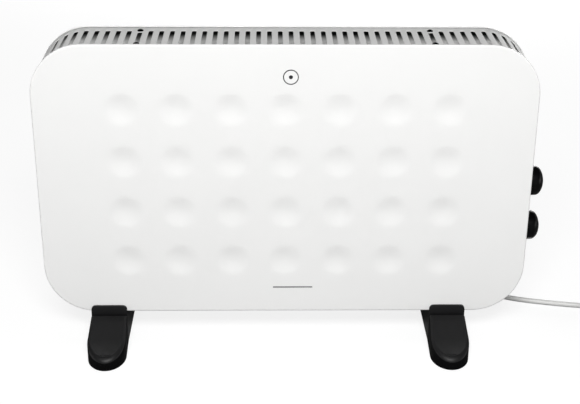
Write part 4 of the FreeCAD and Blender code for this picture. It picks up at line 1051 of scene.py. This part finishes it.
def grilleTree():  # a row of cells, the plain ends, then the bend
    tree, given = newTree(
        "slottedBand",
        {
            "Int": ["Cells", "Short From Middle"],
            "Float": ["Pitch", "Flat Half", "Pitch Radius", "Surface Radius", "Top"],
            "Object": ["Short Cell", "Ends"], "Material": ["Finish"],
        },
    )
    gaps = addNode(tree, "ShaderNodeMath", {0: given["Cells"], 1: 1.0}, operation="SUBTRACT")
    length = addNode(tree, "ShaderNodeMath", {0: gaps, 1: given["Pitch"]}, operation="MULTIPLY")
    half = addNode(tree, "ShaderNodeMath", {0: length, 1: -0.5}, operation="MULTIPLY")
    start = addNode(tree, "ShaderNodeCombineXYZ", {0: half})
    step = addNode(tree, "ShaderNodeCombineXYZ", {0: given["Pitch"]})
    row = addNode(
        tree, "GeometryNodeMeshLine", {"Count": given["Cells"], "Start Location": start, "Offset": step},
        mode="OFFSET",
    )
    place = addNode(tree, "GeometryNodeInputPosition")
    axes = addNode(tree, "ShaderNodeSeparateXYZ", {0: place})
    reach = addNode(tree, "ShaderNodeMath", {0: axes.outputs[0]}, operation="ABSOLUTE")
    fromMiddle = addNode(tree, "ShaderNodeMath", {0: reach, 1: given["Pitch"]}, operation="DIVIDE")
    shortPlace = addNode(
        tree, "ShaderNodeMath", {0: given["Short From Middle"], 1: 0.5}, operation="SUBTRACT"
    )
    short = addNode(
        tree, "FunctionNodeCompare", {0: fromMiddle, 1: shortPlace, 12: 0.1}, operation="EQUAL",
        data_type="FLOAT",
    )
    tall = addNode(tree, "FunctionNodeBooleanMath", {0: short}, operation="NOT")
    shortCell = addNode(tree, "GeometryNodeObjectInfo", {"Object": given["Short Cell"]})
    ends = addNode(tree, "GeometryNodeObjectInfo", {"Object": given["Ends"]})
    long = addNode(
        tree, "GeometryNodeInstanceOnPoints",
        {"Points": row, "Selection": tall, "Instance": given["Geometry"]},
    )
    few = addNode(
        tree, "GeometryNodeInstanceOnPoints",
        {"Points": row, "Selection": short, "Instance": shortCell.outputs["Geometry"]},
    )
    joined = addNode(tree, "GeometryNodeJoinGeometry", {0: [long, few, ends.outputs["Geometry"]]})
    real = addNode(tree, "GeometryNodeRealizeInstances", {"Geometry": joined})
    merged = addNode(tree, "GeometryNodeMergeByDistance", {"Geometry": real, "Distance": 0.02 * mm})
    bent = addBend(
        tree, merged.outputs[0], given["Flat Half"], given["Pitch Radius"], given["Surface Radius"],
        given["Top"],
    )
    closeTree(tree, bent, given["Finish"])
    return tree


grille = {  # millimetres
    "edge": 0.6,
    "rimGap": 0.6,
    "slots": 44,
    "pitch": 11.35,
    "slotWidth": 4.9,
    "slotFront": -29.5,
    "slotBack": 20.2,
    "shortFront": -23.8,
    "shortBack": 14.5,
    "shortFromMiddle": 14,
    "endAngle": 85.3,
}


def makeTopGrille():
    depth = caseHigh.y - (caseShape["rimDepth"] + grille["rimGap"]) * mm
    radius = grille["slotWidth"] / 2 * mm
    longSlot = (radius, grille["slotFront"] * mm, grille["slotBack"] * mm)
    shortSlot = (radius, grille["shortFront"] * mm, grille["shortBack"] * mm)
    stations = slotStations([longSlot, shortSlot], -depth, depth)
    pitch = grille["pitch"] * mm
    edge = grille["edge"] * mm
    band = slotCell("topGrille", pitch, stations, longSlot, edge)
    shortCell = slotCell("shortCell", pitch, stations, shortSlot, edge)
    flatHalf = halfWidth - cornerRadius
    cellsEnd = grille["slots"] / 2 * pitch
    end = flatHalf + cornerRadius * math.radians(grille["endAngle"])
    along = evenly(cellsEnd, end, 2.6 * mm)
    rightEnd = bandGrid("rightEnd", along, stations, edge, (False, True))
    leftEnd = bandGrid("leftEnd", [-x for x in reversed(along)], stations, edge, (True, False))
    ends = joinPieces("plainEnds", [rightEnd, leftEnd])
    runTree(
        band, grilleTree(),
        {
            "Cells": grille["slots"], "Pitch": pitch, "Flat Half": flatHalf, "Pitch Radius": cornerRadius,
            "Surface Radius": cornerRadius - caseShape["bandInset"] * mm,
            "Top": caseHigh.z - caseShape["bandInset"] * mm, "Short From Middle": grille["shortFromMiddle"],
            "Short Cell": shortCell, "Ends": ends, "Finish": finishes["grilleShadedCoat"],
        },
    )
    for helper in (shortCell, ends):
        bpy.data.objects.remove(helper)
    shade(band, 40)
    settle(band, "casing", "grille_coat", "top_grille")


def rearTree():  # rows and columns of upright slot cells, closed up with the tray
    tree, given = newTree(
        "intakeSlots",
        {
            "Int": ["Columns", "Rows"], "Float": ["Pitch Across", "Pitch Up"], "Vector": ["Middle"],
            "Object": ["Cell"], "Material": ["Finish"],
        },
    )
    sizes = []
    for pitch, number in (("Pitch Across", "Columns"), ("Pitch Up", "Rows")):
        steps = addNode(tree, "ShaderNodeMath", {0: given[number], 1: 1.0}, operation="SUBTRACT")
        sizes.append(addNode(tree, "ShaderNodeMath", {0: steps, 1: given[pitch]}, operation="MULTIPLY"))
    field = addNode(
        tree, "GeometryNodeMeshGrid",
        {
            "Size X": sizes[0], "Size Y": sizes[1], "Vertices X": given["Columns"],
            "Vertices Y": given["Rows"],
        },
    )
    cell = addNode(tree, "GeometryNodeObjectInfo", {"Object": given["Cell"]})
    flat = addNode(
        tree, "GeometryNodeInstanceOnPoints", {"Points": field, "Instance": cell.outputs["Geometry"]}
    )
    real = addNode(tree, "GeometryNodeRealizeInstances", {"Geometry": flat})
    upright = addNode(
        tree, "GeometryNodeTransform",
        {"Geometry": real, "Translation": given["Middle"], "Rotation": (math.pi / 2, 0, math.pi)},
    )
    joined = addNode(tree, "GeometryNodeJoinGeometry", {0: [upright, given["Geometry"]]})
    merged = addNode(tree, "GeometryNodeMergeByDistance", {"Geometry": joined, "Distance": 0.08 * mm})
    closeTree(tree, merged, given["Finish"])
    return tree


def rearTabs():  # the flange is shallow, so each rear screw has its own tab
    inset = caseShape["bandInset"] * mm + sheet + caseShape["flangeGap"] * mm
    side, top, low = halfWidth - inset, caseHigh.z - inset, caseLow.z + inset
    half = rearTab["width"] / 2 * mm
    start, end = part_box("rear_panel")[0].y, caseHigh.y - rearTab["start"] * mm
    boxes = []
    for x in screwRows["grille"]:
        boxes.append(((x * mm - half, start, top - sheet), (x * mm + half, end, top)))
    for x in screwRows["below"]:
        boxes.append(((x * mm - half, start, low), (x * mm + half, end, low + sheet)))
    for z in screwRows["levels"]:
        boxes.append(((side - sheet, start, z * mm - half), (side, end, z * mm + half)))
        boxes.append(((-side, start, z * mm - half), (sheet - side, end, z * mm + half)))
    return boxMesh("screwTabs", boxes)


def makeRearPanel():
    pitchAcross, pitchUp = rearSlots["pitchAcross"] * mm, rearSlots["pitchUp"] * mm
    radius, length = rearSlots["width"] / 2 * mm, rearSlots["length"] * mm
    slot = (radius, -length / 2, length / 2)
    stations = slotStations([slot], -pitchUp / 2, pitchUp / 2)
    cell = slotCell("intakeCell", pitchAcross, stations, slot, sheet, endWalls=False)
    left = -rearSlots["columns"] / 2 * pitchAcross
    low = rearSlots["lowest"] * mm - (pitchUp - length) / 2
    high = low + rearSlots["rows"] * pitchUp
    reach = halfWidth - caseShape["rimRound"] * mm
    columns = [left + i * pitchAcross / 2 for i in range(2 * rearSlots["columns"] + 1)]
    grid = rearSlots["grid"] * mm
    margin = evenly(-left, reach, grid)[1:]
    columns = [-x for x in reversed(margin)] + columns + margin
    levels = evenly(-halfHeight, low, grid)[:-1] + evenly(high, halfHeight, grid)
    levels += [low + (j + 0.5) * pitchUp + y for j in range(rearSlots["rows"]) for y in stations]
    tray = trayMesh(
        "rearPanel", caseHigh.y, 1, columns, sorted({round(z, 6) for z in levels}),
        rearSlots["flange"] * mm, skip=lambda x, z: left < x < -left and low < z < high,
    )
    runTree(
        tray, rearTree(),
        {
            "Columns": rearSlots["columns"], "Rows": rearSlots["rows"], "Pitch Across": pitchAcross,
            "Pitch Up": pitchUp, "Middle": (0.0, caseHigh.y, midHeight + (low + high) / 2), "Cell": cell,
            "Finish": finishes["satinCoat"],
        },
    )
    bpy.data.objects.remove(cell)
    tray = joinPieces("rearPanel", [tray, rearTabs()])
    setMaterial(tray, finishes["satinCoat"])
    primeInsideWithPaintedLight(tray, 1)
    shade(tray, 40)
    settle(tray, "casing", "case_coat", "rear_panel")


# plain side bands with their bottom corners


def outlinePath(inset, start, stop):
    # down the right side from the height start, round the bottom corner, in to the distance stop
    radius = cornerRadius - inset
    wall = halfWidth - inset
    cornerLow = caseLow.z + cornerRadius
    points = []
    for z in evenly(start, cornerLow, 20 * mm):
        points.append((wall, z))
    turnX = halfWidth - cornerRadius
    for a in evenly(0, 90, 4)[1:]:
        turn = math.radians(a)
        points.append((turnX + radius * math.cos(turn), cornerLow - radius * math.sin(turn)))
    points.append((stop, caseLow.z + inset))
    return points


def makeSidePanel(name, node, side):
    low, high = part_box(node)
    inset = caseShape["bandInset"] * mm
    inner = min(abs(low.x), abs(high.x))
    outer = outlinePath(inset, high.z, inner)
    back = outlinePath(inset + sheet, high.z, inner)
    depth = high.y
    vertices, faces = [], []
    for x, z in outer + list(reversed(back)):
        vertices += [(side * x, -depth, z), (side * x, depth, z)]
    count = len(outer) * 2
    for i in range(count):
        j = (i + 1) % count
        faces.append((2 * i, 2 * j, 2 * j + 1, 2 * i + 1))
    half = len(outer)
    for i in range(half - 1):
        a, b, c, d = i, i + 1, count - 2 - i, count - 1 - i
        faces.append((2 * a, 2 * b, 2 * c, 2 * d))
        faces.append((2 * a + 1, 2 * d + 1, 2 * c + 1, 2 * b + 1))
    panel = newPiece(name, vertices, faces)
    cleanMesh(panel)
    rounded = panel.modifiers.new("foldedEdge", "BEVEL")
    rounded.width = caseShape["bandRound"] * mm
    rounded.segments = 2
    rounded.angle_limit = math.radians(50)
    applyModifiers(panel)
    setMaterial(panel, finishes["satinCoat"])
    shade(panel, 40)
    settle(panel, "casing", "case_coat", node)


# domed screws

screwHead = {  # millimetres; the recess is a cross with four arms
    "radius": 3.3,
    "rise": 2.0,
    "arm": 1.75,
    "armWidth": 0.76,
    "recess": 0.9,
    "sides": 24,
}


def screwHeadMesh():  # dome with a cross recess; the seat is at z 0
    radius, rise = screwHead["radius"] * mm, screwHead["rise"] * mm
    edge = rise * 0.35
    cap = rise - edge
    ball = (radius**2 + cap**2) / (2 * cap)

    def dome(r):
        return rise - ball + math.sqrt(ball * ball - r * r)

    arm, half = screwHead["arm"] * mm, screwHead["armWidth"] / 2 * mm
    depth, sides = screwHead["recess"] * mm, screwHead["sides"]
    work = bmesh.new()
    rings = [(radius * 0.97, -0.3 * mm), (radius, 0.0), (radius, edge * 0.8), (radius * 0.97, edge * 1.25)]
    rings += [(r * radius, dome(r * radius)) for r in (0.88, 0.76, 0.64)]
    loops = []
    for r, z in rings:
        turn = [2 * math.pi * i / sides for i in range(sides)]
        loops.append([work.verts.new((r * math.cos(a), r * math.sin(a), z)) for a in turn])
    for low, high in zip(loops, loops[1:]):
        for i in range(sides):
            j = (i + 1) % sides
            work.faces.new((low[i], low[j], high[j], high[i]))
    cross = []
    for k in range(4):
        a = k * math.pi / 2
        for x, y in ((arm, -half), (arm, half), (half, half)):
            cross.append((x * math.cos(a) - y * math.sin(a), x * math.sin(a) + y * math.cos(a)))
    top = [work.verts.new((x, y, dome(math.hypot(x, y)))) for x, y in cross]
    floor = [work.verts.new((x * 0.7, y * 0.7, rise - depth)) for x, y in cross]
    edges = [work.edges.new((top[i], top[(i + 1) % 12])) for i in range(12)]
    ringEdges = [loops[-1][i].link_edges[:] for i in range(sides)]
    rim = {e for group in ringEdges for e in group if all(v in loops[-1] for v in e.verts)}
    bmesh.ops.bridge_loops(work, edges=list(rim) + edges)
    for i in range(12):
        j = (i + 1) % 12
        work.faces.new((top[i], top[j], floor[j], floor[i]))
    work.faces.new(floor)
    work.faces.new(list(reversed(loops[0])))
    bmesh.ops.recalc_face_normals(work, faces=work.faces)
    head = newPiece("screwHead", [], [])
    work.to_mesh(head.data)
    work.free()
    return head


def screwTree():  # one head on each point, turned along the point's own direction
    tree, given = newTree("drivenScrews", {"Object": ["Head"], "Material": ["Finish"]})
    way = addNode(tree, "GeometryNodeInputNamedAttribute", {"Name": "way"}, data_type="FLOAT_VECTOR")
    turned = addNode(tree, "FunctionNodeAlignEulerToVector", {"Vector": way}, axis="Z")
    spin = addNode(tree, "FunctionNodeRandomValue", {2: 0.0, 3: math.pi, "Seed": 4}, data_type="FLOAT")
    twist = addNode(tree, "ShaderNodeCombineXYZ", {2: spin.outputs[1]})
    head = addNode(tree, "GeometryNodeObjectInfo", {"Object": given["Head"]})
    placed = addNode(
        tree, "GeometryNodeInstanceOnPoints",
        {"Points": given["Geometry"], "Instance": head.outputs["Geometry"], "Rotation": turned},
    )
    twisted = addNode(tree, "GeometryNodeRotateInstances", {"Instances": placed, "Rotation": twist})
    closeTree(tree, twisted, given["Finish"])
    return tree


def makeScrews():
    tree, head = screwTree(), screwHeadMesh()
    inset = caseShape["bandInset"] * mm
    rows = [screwRows["front"] * mm, screwRows["back"] * mm]
    top, low, wall = caseHigh.z - inset, caseLow.z + inset, halfWidth - inset
    groups = {
        ("grilleScrews", "grille_screws"): [
            ((x * mm, y, top), (0, 0, 1)) for x in screwRows["grille"] for y in rows
        ],
        ("sideScrews", "side_screws"): [
            ((side * wall, y, z * mm), (side, 0, 0))
            for side in (-1, 1) for y in rows for z in screwRows["levels"]
        ],
        ("bottomScrews", "bottom_screws"): [
            ((x * mm, y, low), (0, 0, -1)) for x in screwRows["below"] for y in rows
        ],
    }
    for (name, node), seats in groups.items():
        piece = newPiece(name, [place for place, _ in seats], [])
        way = piece.data.attributes.new("way", "FLOAT_VECTOR", "POINT")
        for item, (_, direction) in zip(way.data, seats):
            item.vector = direction
        runTree(piece, tree, {"Head": head, "Finish": finishes["blackScrew"]})
        shade(piece, 35)
        settle(piece, "casing", "screw_black", node)
    bpy.data.objects.remove(head)


# feet

foot = {  # millimetres; the same plan and side outline as the solid's
    "length": 200.0,
    "nose": 28.0,
    "waist": 39.4,
    "width": 42.0,
    "tip": 12.5,
    "slope": 22.0,
    "lipHeight": 8.5,
    "lip": 3.6,
    "groove": 2.2,
    "grooveDepth": 4.0,
    "edge": 2.4,
    "noseEdge": 5.2,
    "lipCorner": 4.5,
    "rim": 3.4,
    "sunk": 0.7,
    "wall": 3.2,
    "hollow": 8.0,
}


def footHalfWidth(y):
    straight = foot["length"] / 2 - foot["nose"]
    depth = caseHigh.y / mm
    share = min(1.0, max(0.0, (abs(y) - depth) / (straight - depth)))
    return (foot["waist"] + (foot["width"] - foot["waist"]) * share) / 2


def footStations():
    # (distance from the case's middle, angle round the nose, top, corner radius, sunk depth)
    half, nose = foot["length"] / 2, foot["nose"]
    straight = half - nose
    slope = math.tan(math.radians(foot["slope"]))
    case = caseHigh.y / mm + 0.25
    lip = case + foot["lip"]
    groove = lip + foot["groove"]
    seat = caseLow.z / mm - 0.15
    lipTop = seat + foot["lipHeight"]

    def top(y):
        return foot["tip"] + (half - y) * slope

    crest = top(groove)
    low = crest - foot["grooveDepth"]
    edge, corner = foot["edge"], foot["lipCorner"]
    stations = [
        (0.0, 0, seat, 0.4, 0.0), (case - 0.02, 0, seat, 0.4, 0.0), (case, 0, lipTop - 0.6, corner, 0.0),
        (case + 0.2, 0, lipTop - 0.15, corner, 0.0), (case + 0.7, 0, lipTop, corner, 0.0),
        (lip - 1.8, 0, lipTop, corner, 0.0), (lip - 1.1, 0, lipTop - 0.3, corner, 0.0),
        (lip - 0.75, 0, lipTop - 1.0, corner, 0.0), (lip - 0.35, 0, low + 1.9, corner * 0.6, 0.0),
        (lip + 0.1, 0, low + 1.5, edge, 0.0), (lip + 0.25, 0, low + 0.9, edge, 0.0),
        (lip, 0, low + 0.3, 0.5, 0.0), (lip + 0.3, 0, low, 0.5, 0.0), (groove - 0.3, 0, low, 0.5, 0.0),
        (groove, 0, low + 0.3, 0.5, 0.0), (groove + 0.02, 0, crest - 1.0, edge, 0.0),
        (groove + 0.3, 0, crest - 0.35, edge, 0.0), (groove + 0.9, 0, top(groove + 0.9), edge, 0.0),
        (groove + 2.2, 0, top(groove + 2.2), edge, 0.0),
        (groove + 3.2, 0, top(groove + 3.2), edge, foot["sunk"]),
    ]
    for y in evenly(groove + 8, straight, 8):
        stations.append((y, 0, top(y), edge, foot["sunk"]))
    for a in evenly(0, 90, 7.5)[1:]:
        rounding = edge + (foot["noseEdge"] - edge) * math.sin(math.radians(a))
        stations.append((straight, a, 0.0, rounding, foot["sunk"]))
    return stations, top


def footPoint(station, inset):  # place in plan at a distance inside the outline
    y, angle, _, _, _ = station
    if angle == 0:
        return footHalfWidth(y) - inset, y
    turn = math.radians(angle)
    return ((foot["width"] / 2 - inset) * math.cos(turn), y + (foot["nose"] - inset) * math.sin(turn))


def footSection(station, top):
    # from the middle of the top outwards, down the wall and in under the foot
    level, corner, sunk = station[2], station[3], station[4]
    arc = []
    for a in evenly(0, 90, 22.5):
        turn = math.radians(a)
        arc.append((corner * (1 - math.sin(turn)), corner * (1 - math.cos(turn))))
    rim = max(foot["rim"], corner + 0.5)
    steps = [(rim + 1.0, sunk), (rim, 0.0)] + arc
    section = []
    for inset, drop in steps:
        x, y = footPoint(station, inset)
        height = (top(y) if station[1] else level) - drop
        section.append((x, y, height))
    low = foot["wall"]
    for inset, z in ((0.0, 0.6), (0.5, 0.0), (low, 0.0), (low, foot["hollow"])):
        x, y = footPoint(station, inset)
        section.append((x, y, z))
    return section


def makeFoot(name, node):
    low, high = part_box(node)
    middle = (low.x + high.x) / 2
    stations, top = footStations()
    half = [footSection(s, top) for s in stations]
    sections = [[(x, -y, z) for x, y, z in s] for s in reversed(half)] + half[1:]
    width = len(sections[0])
    vertices, faces = [], []
    for section in sections:
        for side in (1, -1):
            vertices += [(middle + side * x * mm, y * mm, z * mm) for x, y, z in section]
    span = 2 * width
    for k in range(len(sections) - 1):
        a, b = k * span, (k + 1) * span
        for i in range(width - 1):
            faces.append((a + i, a + i + 1, b + i + 1, b + i))
            faces.append((a + width + i, b + width + i, b + width + i + 1, a + width + i + 1))
        faces.append((a, b, b + width, a + width))
        last = width - 1
        faces.append((a + last, a + width + last, b + width + last, b + last))
    piece = newPiece(name, vertices, faces)
    cleanMesh(piece, 5e-6)
    setMaterial(piece, finishes["blackFoot"])
    # the feet's walls and underside beyond the case take the darker copy of the same plastic as painted
    # shade
    piece.data.materials.append(finishes["footWallPaintedShade"])
    for polygon in piece.data.polygons:
        beyondCase = abs(polygon.center.y) > caseHigh.y + (foot["lip"] + foot["groove"]) * mm
        if beyondCase and polygon.normal.z < 0.25:
            polygon.material_index = 1
    shade(piece, 38)
    settle(piece, "casing", "foot_plastic", node)


# knobs

knob = {  # millimetres, from the seat outwards: distance along the axis and radius
    "profile": [
        (0.0, 12.5),
        (0.0, 16.2),
        (0.3, 16.5),
        (6.0, 16.4),
        (11.6, 16.2),
        (13.4, 15.6),
        (15.0, 14.4),
        (16.8, 12.2),
        (18.3, 9.2),
        (19.4, 5.4),
        (20.0, 0.0),
    ],
    "inside": [(7.0, 0.0), (7.0, 12.5)],
    "sides": 64,
}


def makeKnob(name, node, body):
    low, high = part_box(node)
    start = Vector((low.x, (low.y + high.y) / 2, (low.z + high.z) / 2))
    outline = knob["inside"] + knob["profile"]
    piece = turnedPiece(name, outline, knob["sides"], start, Vector((1, 0, 0)))
    setMaterial(piece, finishes["blackKnob"])
    shade(piece, 40)
    settle(piece, body, "knob_plastic", node)


makeFrontPanel()
print("stage: front panel is pressed")
makeTopGrille()
print("stage: grille is slotted and bent")
makeRearPanel()
makeSidePanel("leftSidePanel", "left_side_panel", -1)
makeSidePanel("rightSidePanel", "right_side_panel", 1)
print("stage: rear and sides are folded")
makeScrews()
makeFoot("leftFoot", "left_foot")
makeFoot("rightFoot", "right_foot")
makeKnob("thermostatKnob", "thermostat_knob", "thermostat_control")
makeKnob("selectorKnob", "selector_knob", "selector_control")
print("stage: screws, feet and knobs are in place")

# dials: index lines on the knobs and printed ticks on the side

dials = {  # degrees from the top, counter-clockwise as the user sees the right side; millimetres
    "thermostat": {"rest": 150.0, "sweep": -300.0, "ticks": 11},
    "selector": {"rest": 135.0, "sweep": -270.0, "ticks": 4},
    "tickInside": 18.6,
    "tickLength": 2.4,
    "tickWidth": 0.6,
    "tickProud": 0.04,
    "indexWidth": 1.1,
    "indexProud": 0.12,
    "indexStart": 6.0,
    "indexEnd": (19.55, 4.4),
    "indexSunk": 0.3,
    "inkSunk": 0.02,
}


def makeIndexLine(name, node, body, rest):
    low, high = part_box(node)
    start = Vector((low.x, (low.y + high.y) / 2, (low.z + high.z) / 2))
    tip = dials["indexEnd"]
    line = [(a, r) for a, r in knob["profile"] if a >= dials["indexStart"] and r > tip[1]] + [tip]
    line.sort(key=lambda point: -point[1])
    half, proud, sunk = dials["indexWidth"] / 2, dials["indexProud"], -dials["indexSunk"]
    vertices, faces = [], []
    for k, (along, radius) in enumerate(line):
        before, after = line[max(k - 1, 0)], line[min(k + 1, len(line) - 1)]
        slope = Vector((before[1] - after[1], after[0] - before[0])).normalized()
        for side, lift in ((-half, sunk), (-half, proud), (half, proud), (half, sunk)):
            vertices.append(Vector((along + slope.x * lift, side, radius + slope.y * lift)) * mm)
    for k in range(len(line) - 1):
        for i in range(4):
            j = (i + 1) % 4
            faces.append((4 * k + i, 4 * k + j, 4 * k + 4 + j, 4 * k + 4 + i))
    last = 4 * (len(line) - 1)
    faces += [(3, 2, 1, 0), (last, last + 1, last + 2, last + 3)]
    turn = Matrix.Rotation(math.radians(rest), 3, "X")
    piece = newPiece(name, [turn @ v + start for v in vertices], faces)
    cleanMesh(piece)
    setMaterial(piece, finishes["indexPaint"])
    shade(piece, 40)
    settle(piece, body, "knob_plastic")


def tickTree():  # ticks along an arc round a spindle
    tree, given = newTree(
        "dialTicks",
        {
            "Int": ["Count"], "Float": ["Rest", "Sweep", "Radius"], "Vector": ["Middle"],
            "Material": ["Finish"],
        },
    )
    row = addNode(tree, "GeometryNodeMeshLine", {"Count": given["Count"]})
    number = addNode(tree, "GeometryNodeInputIndex")
    steps = addNode(tree, "ShaderNodeMath", {0: given["Count"], 1: 1.0}, operation="SUBTRACT")
    share = addNode(tree, "ShaderNodeMath", {0: number, 1: steps}, operation="DIVIDE")
    angle = addNode(
        tree, "ShaderNodeMath", {0: share, 1: given["Sweep"], 2: given["Rest"]}, operation="MULTIPLY_ADD"
    )
    sine = addNode(tree, "ShaderNodeMath", {0: angle}, operation="SINE")
    cosine = addNode(tree, "ShaderNodeMath", {0: angle}, operation="COSINE")
    out = addNode(tree, "ShaderNodeMath", {0: sine, 1: given["Radius"]}, operation="MULTIPLY")
    across = addNode(tree, "ShaderNodeMath", {0: out, 1: -1.0}, operation="MULTIPLY")
    up = addNode(tree, "ShaderNodeMath", {0: cosine, 1: given["Radius"]}, operation="MULTIPLY")
    place = addNode(tree, "ShaderNodeCombineXYZ", {1: across, 2: up})
    placed = addNode(
        tree, "GeometryNodeSetPosition", {"Geometry": row, "Position": place, "Offset": given["Middle"]}
    )
    turn = addNode(tree, "ShaderNodeCombineXYZ", {0: angle})
    ticks = addNode(
        tree, "GeometryNodeInstanceOnPoints",
        {"Points": placed, "Instance": given["Geometry"], "Rotation": turn},
    )
    closeTree(tree, ticks, given["Finish"])
    return tree


def makeDialTicks():
    tree = tickTree()
    wall = halfWidth - caseShape["bandInset"] * mm
    half, long = dials["tickWidth"] / 2 * mm, dials["tickLength"] * mm
    proud, sunk = dials["tickProud"] * mm, dials["inkSunk"] * mm
    rings = []
    for name in ("thermostat", "selector"):
        low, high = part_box(name + "_knob")
        dial = dials[name]
        ring = boxMesh(name + "Ticks", [((-sunk, -half, 0.0), (proud, half, long))])
        runTree(
            ring, tree,
            {
                "Count": dial["ticks"], "Rest": math.radians(dial["rest"]),
                "Sweep": math.radians(dial["sweep"]), "Radius": dials["tickInside"] * mm,
                "Middle": (wall, (low.y + high.y) / 2, (low.z + high.z) / 2),
                "Finish": finishes["printInk"],
            },
        )
        rings.append(ring)
    ticks = joinPieces("dialTicks", rings)
    setMaterial(ticks, finishes["printInk"])
    settle(ticks, "casing", "knob_plastic")


# plain printed ring and line on the front

frontPrint = {  # millimetres
    "ring": (5.0, 313.0),
    "ringRadius": 8.2,
    "ringWidth": 1.1,
    "dotRadius": 2.1,
    "line": (8.7, 68.4),
    "lineLength": 44.0,
    "lineHeight": 1.3,
    "thickness": 0.04,
    "inkSunk": 0.02,
}


def printedPatch(outer, inner):  # flat print between two outlines, with thin side walls
    vertices, faces = [], []
    front, back = caseLow.y - frontPrint["thickness"] * mm, caseLow.y + frontPrint["inkSunk"] * mm
    count = len(outer)
    loops = [(outer, front), (outer, back)] + ([(inner, front), (inner, back)] if inner else [])
    for outline, y in loops:
        vertices += [(x * mm, y, z * mm) for x, z in outline]
    for i in range(count):
        j = (i + 1) % count
        faces.append((i, j, count + j, count + i))
        if inner:
            faces.append((i, 2 * count + i, 2 * count + j, j))
            faces.append((2 * count + i, 3 * count + i, 3 * count + j, 2 * count + j))
    if not inner:
        faces.append(tuple(range(count)))
    return vertices, faces


def makeFrontPrint():
    def circle(radius, count=48):
        x, z = frontPrint["ring"]
        turn = [2 * math.pi * i / count for i in range(count)]
        return [(x + radius * math.cos(a), z + radius * math.sin(a)) for a in turn]

    x, z = frontPrint["line"]
    half, end = frontPrint["lineLength"] / 2, frontPrint["lineHeight"] / 2
    pill = [
        (x + side * (half - end) + end * math.cos(math.radians(a)), z + end * math.sin(math.radians(a)))
        for side, first in ((1, -90), (-1, 90))
        for a in evenly(first, first + 180, 22.5)
    ]
    radius, width = frontPrint["ringRadius"], frontPrint["ringWidth"]
    patches = [
        printedPatch(circle(radius), circle(radius - width)),
        printedPatch(circle(frontPrint["dotRadius"]), None), printedPatch(pill, None),
    ]
    parts = [newPiece(f"print{k}", *patch) for k, patch in enumerate(patches)]
    marks = joinPieces("frontPrint", parts)
    work = bmesh.new()
    work.from_mesh(marks.data)
    for face in work.faces:
        if face.normal.y > 0.5:
            face.normal_flip()
    work.to_mesh(marks.data)
    work.free()
    setMaterial(marks, finishes["printInk"])
    settle(marks, "casing", "front_coat")


# open heating coils

coils = {"pitch": 2.8, "wire": 0.35, "levels": (70.0, 90.0, 110.0), "pointsPerTurn": 8}


def coilTree():  # one spiral wire, laid along the element and repeated at each level
    tree, given = newTree(
        "woundCoils",
        {
            "Float": ["Turns", "Radius", "Length", "Wire"], "Int": ["Points Per Turn"],
            "Material": ["Finish"],
        },
    )
    spiral = addNode(
        tree, "GeometryNodeCurveSpiral",
        {
            "Resolution": given["Points Per Turn"], "Rotations": given["Turns"],
            "Start Radius": given["Radius"], "End Radius": given["Radius"], "Height": given["Length"],
        },
    )
    section = addNode(tree, "GeometryNodeCurvePrimitiveCircle", {"Resolution": 5, "Radius": given["Wire"]})
    wire = addNode(
        tree, "GeometryNodeCurveToMesh", {"Curve": spiral, "Profile Curve": section, "Fill Caps": True}
    )
    laid = addNode(tree, "GeometryNodeTransform", {"Geometry": wire, "Rotation": (0, math.pi / 2, 0)})
    copies = addNode(tree, "GeometryNodeInstanceOnPoints", {"Points": given["Geometry"], "Instance": laid})
    closeTree(tree, copies, given["Finish"])
    return tree


def makeHeatingCoils():
    low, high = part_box("heating_coils")
    middle = (low.y + high.y) / 2
    wire = coils["wire"] * mm
    piece = newPiece("heatingCoils", [(low.x + wire, middle, z * mm) for z in coils["levels"]], [])
    length = high.x - low.x - 2 * wire
    runTree(
        piece, coilTree(),
        {
            "Turns": length / (coils["pitch"] * mm), "Points Per Turn": coils["pointsPerTurn"],
            "Radius": (high.y - low.y) / 2 - wire, "Length": length, "Wire": wire,
            "Finish": finishes["heaterWire"],
        },
    )
    shade(piece, 60)
    settle(piece, "casing", "coil_wire", "heating_coils")


makeIndexLine("thermostatIndex", "thermostat_knob", "thermostat_control", dials["thermostat"]["rest"])
makeIndexLine("selectorIndex", "selector_knob", "selector_control", dials["selector"]["rest"])
makeDialTicks()
makeFrontPrint()
makeHeatingCoils()
print("stage: dials, prints and heating coils are made")

# every CAD node that stays gets a finish
for part in frame["record"]["subparts"]:
    chosen = nodeFinish.get(part["node"], slotFinish[part["material_slot"]])
    setMaterial(frame["nodes"][part["node"]], finishes[chosen])
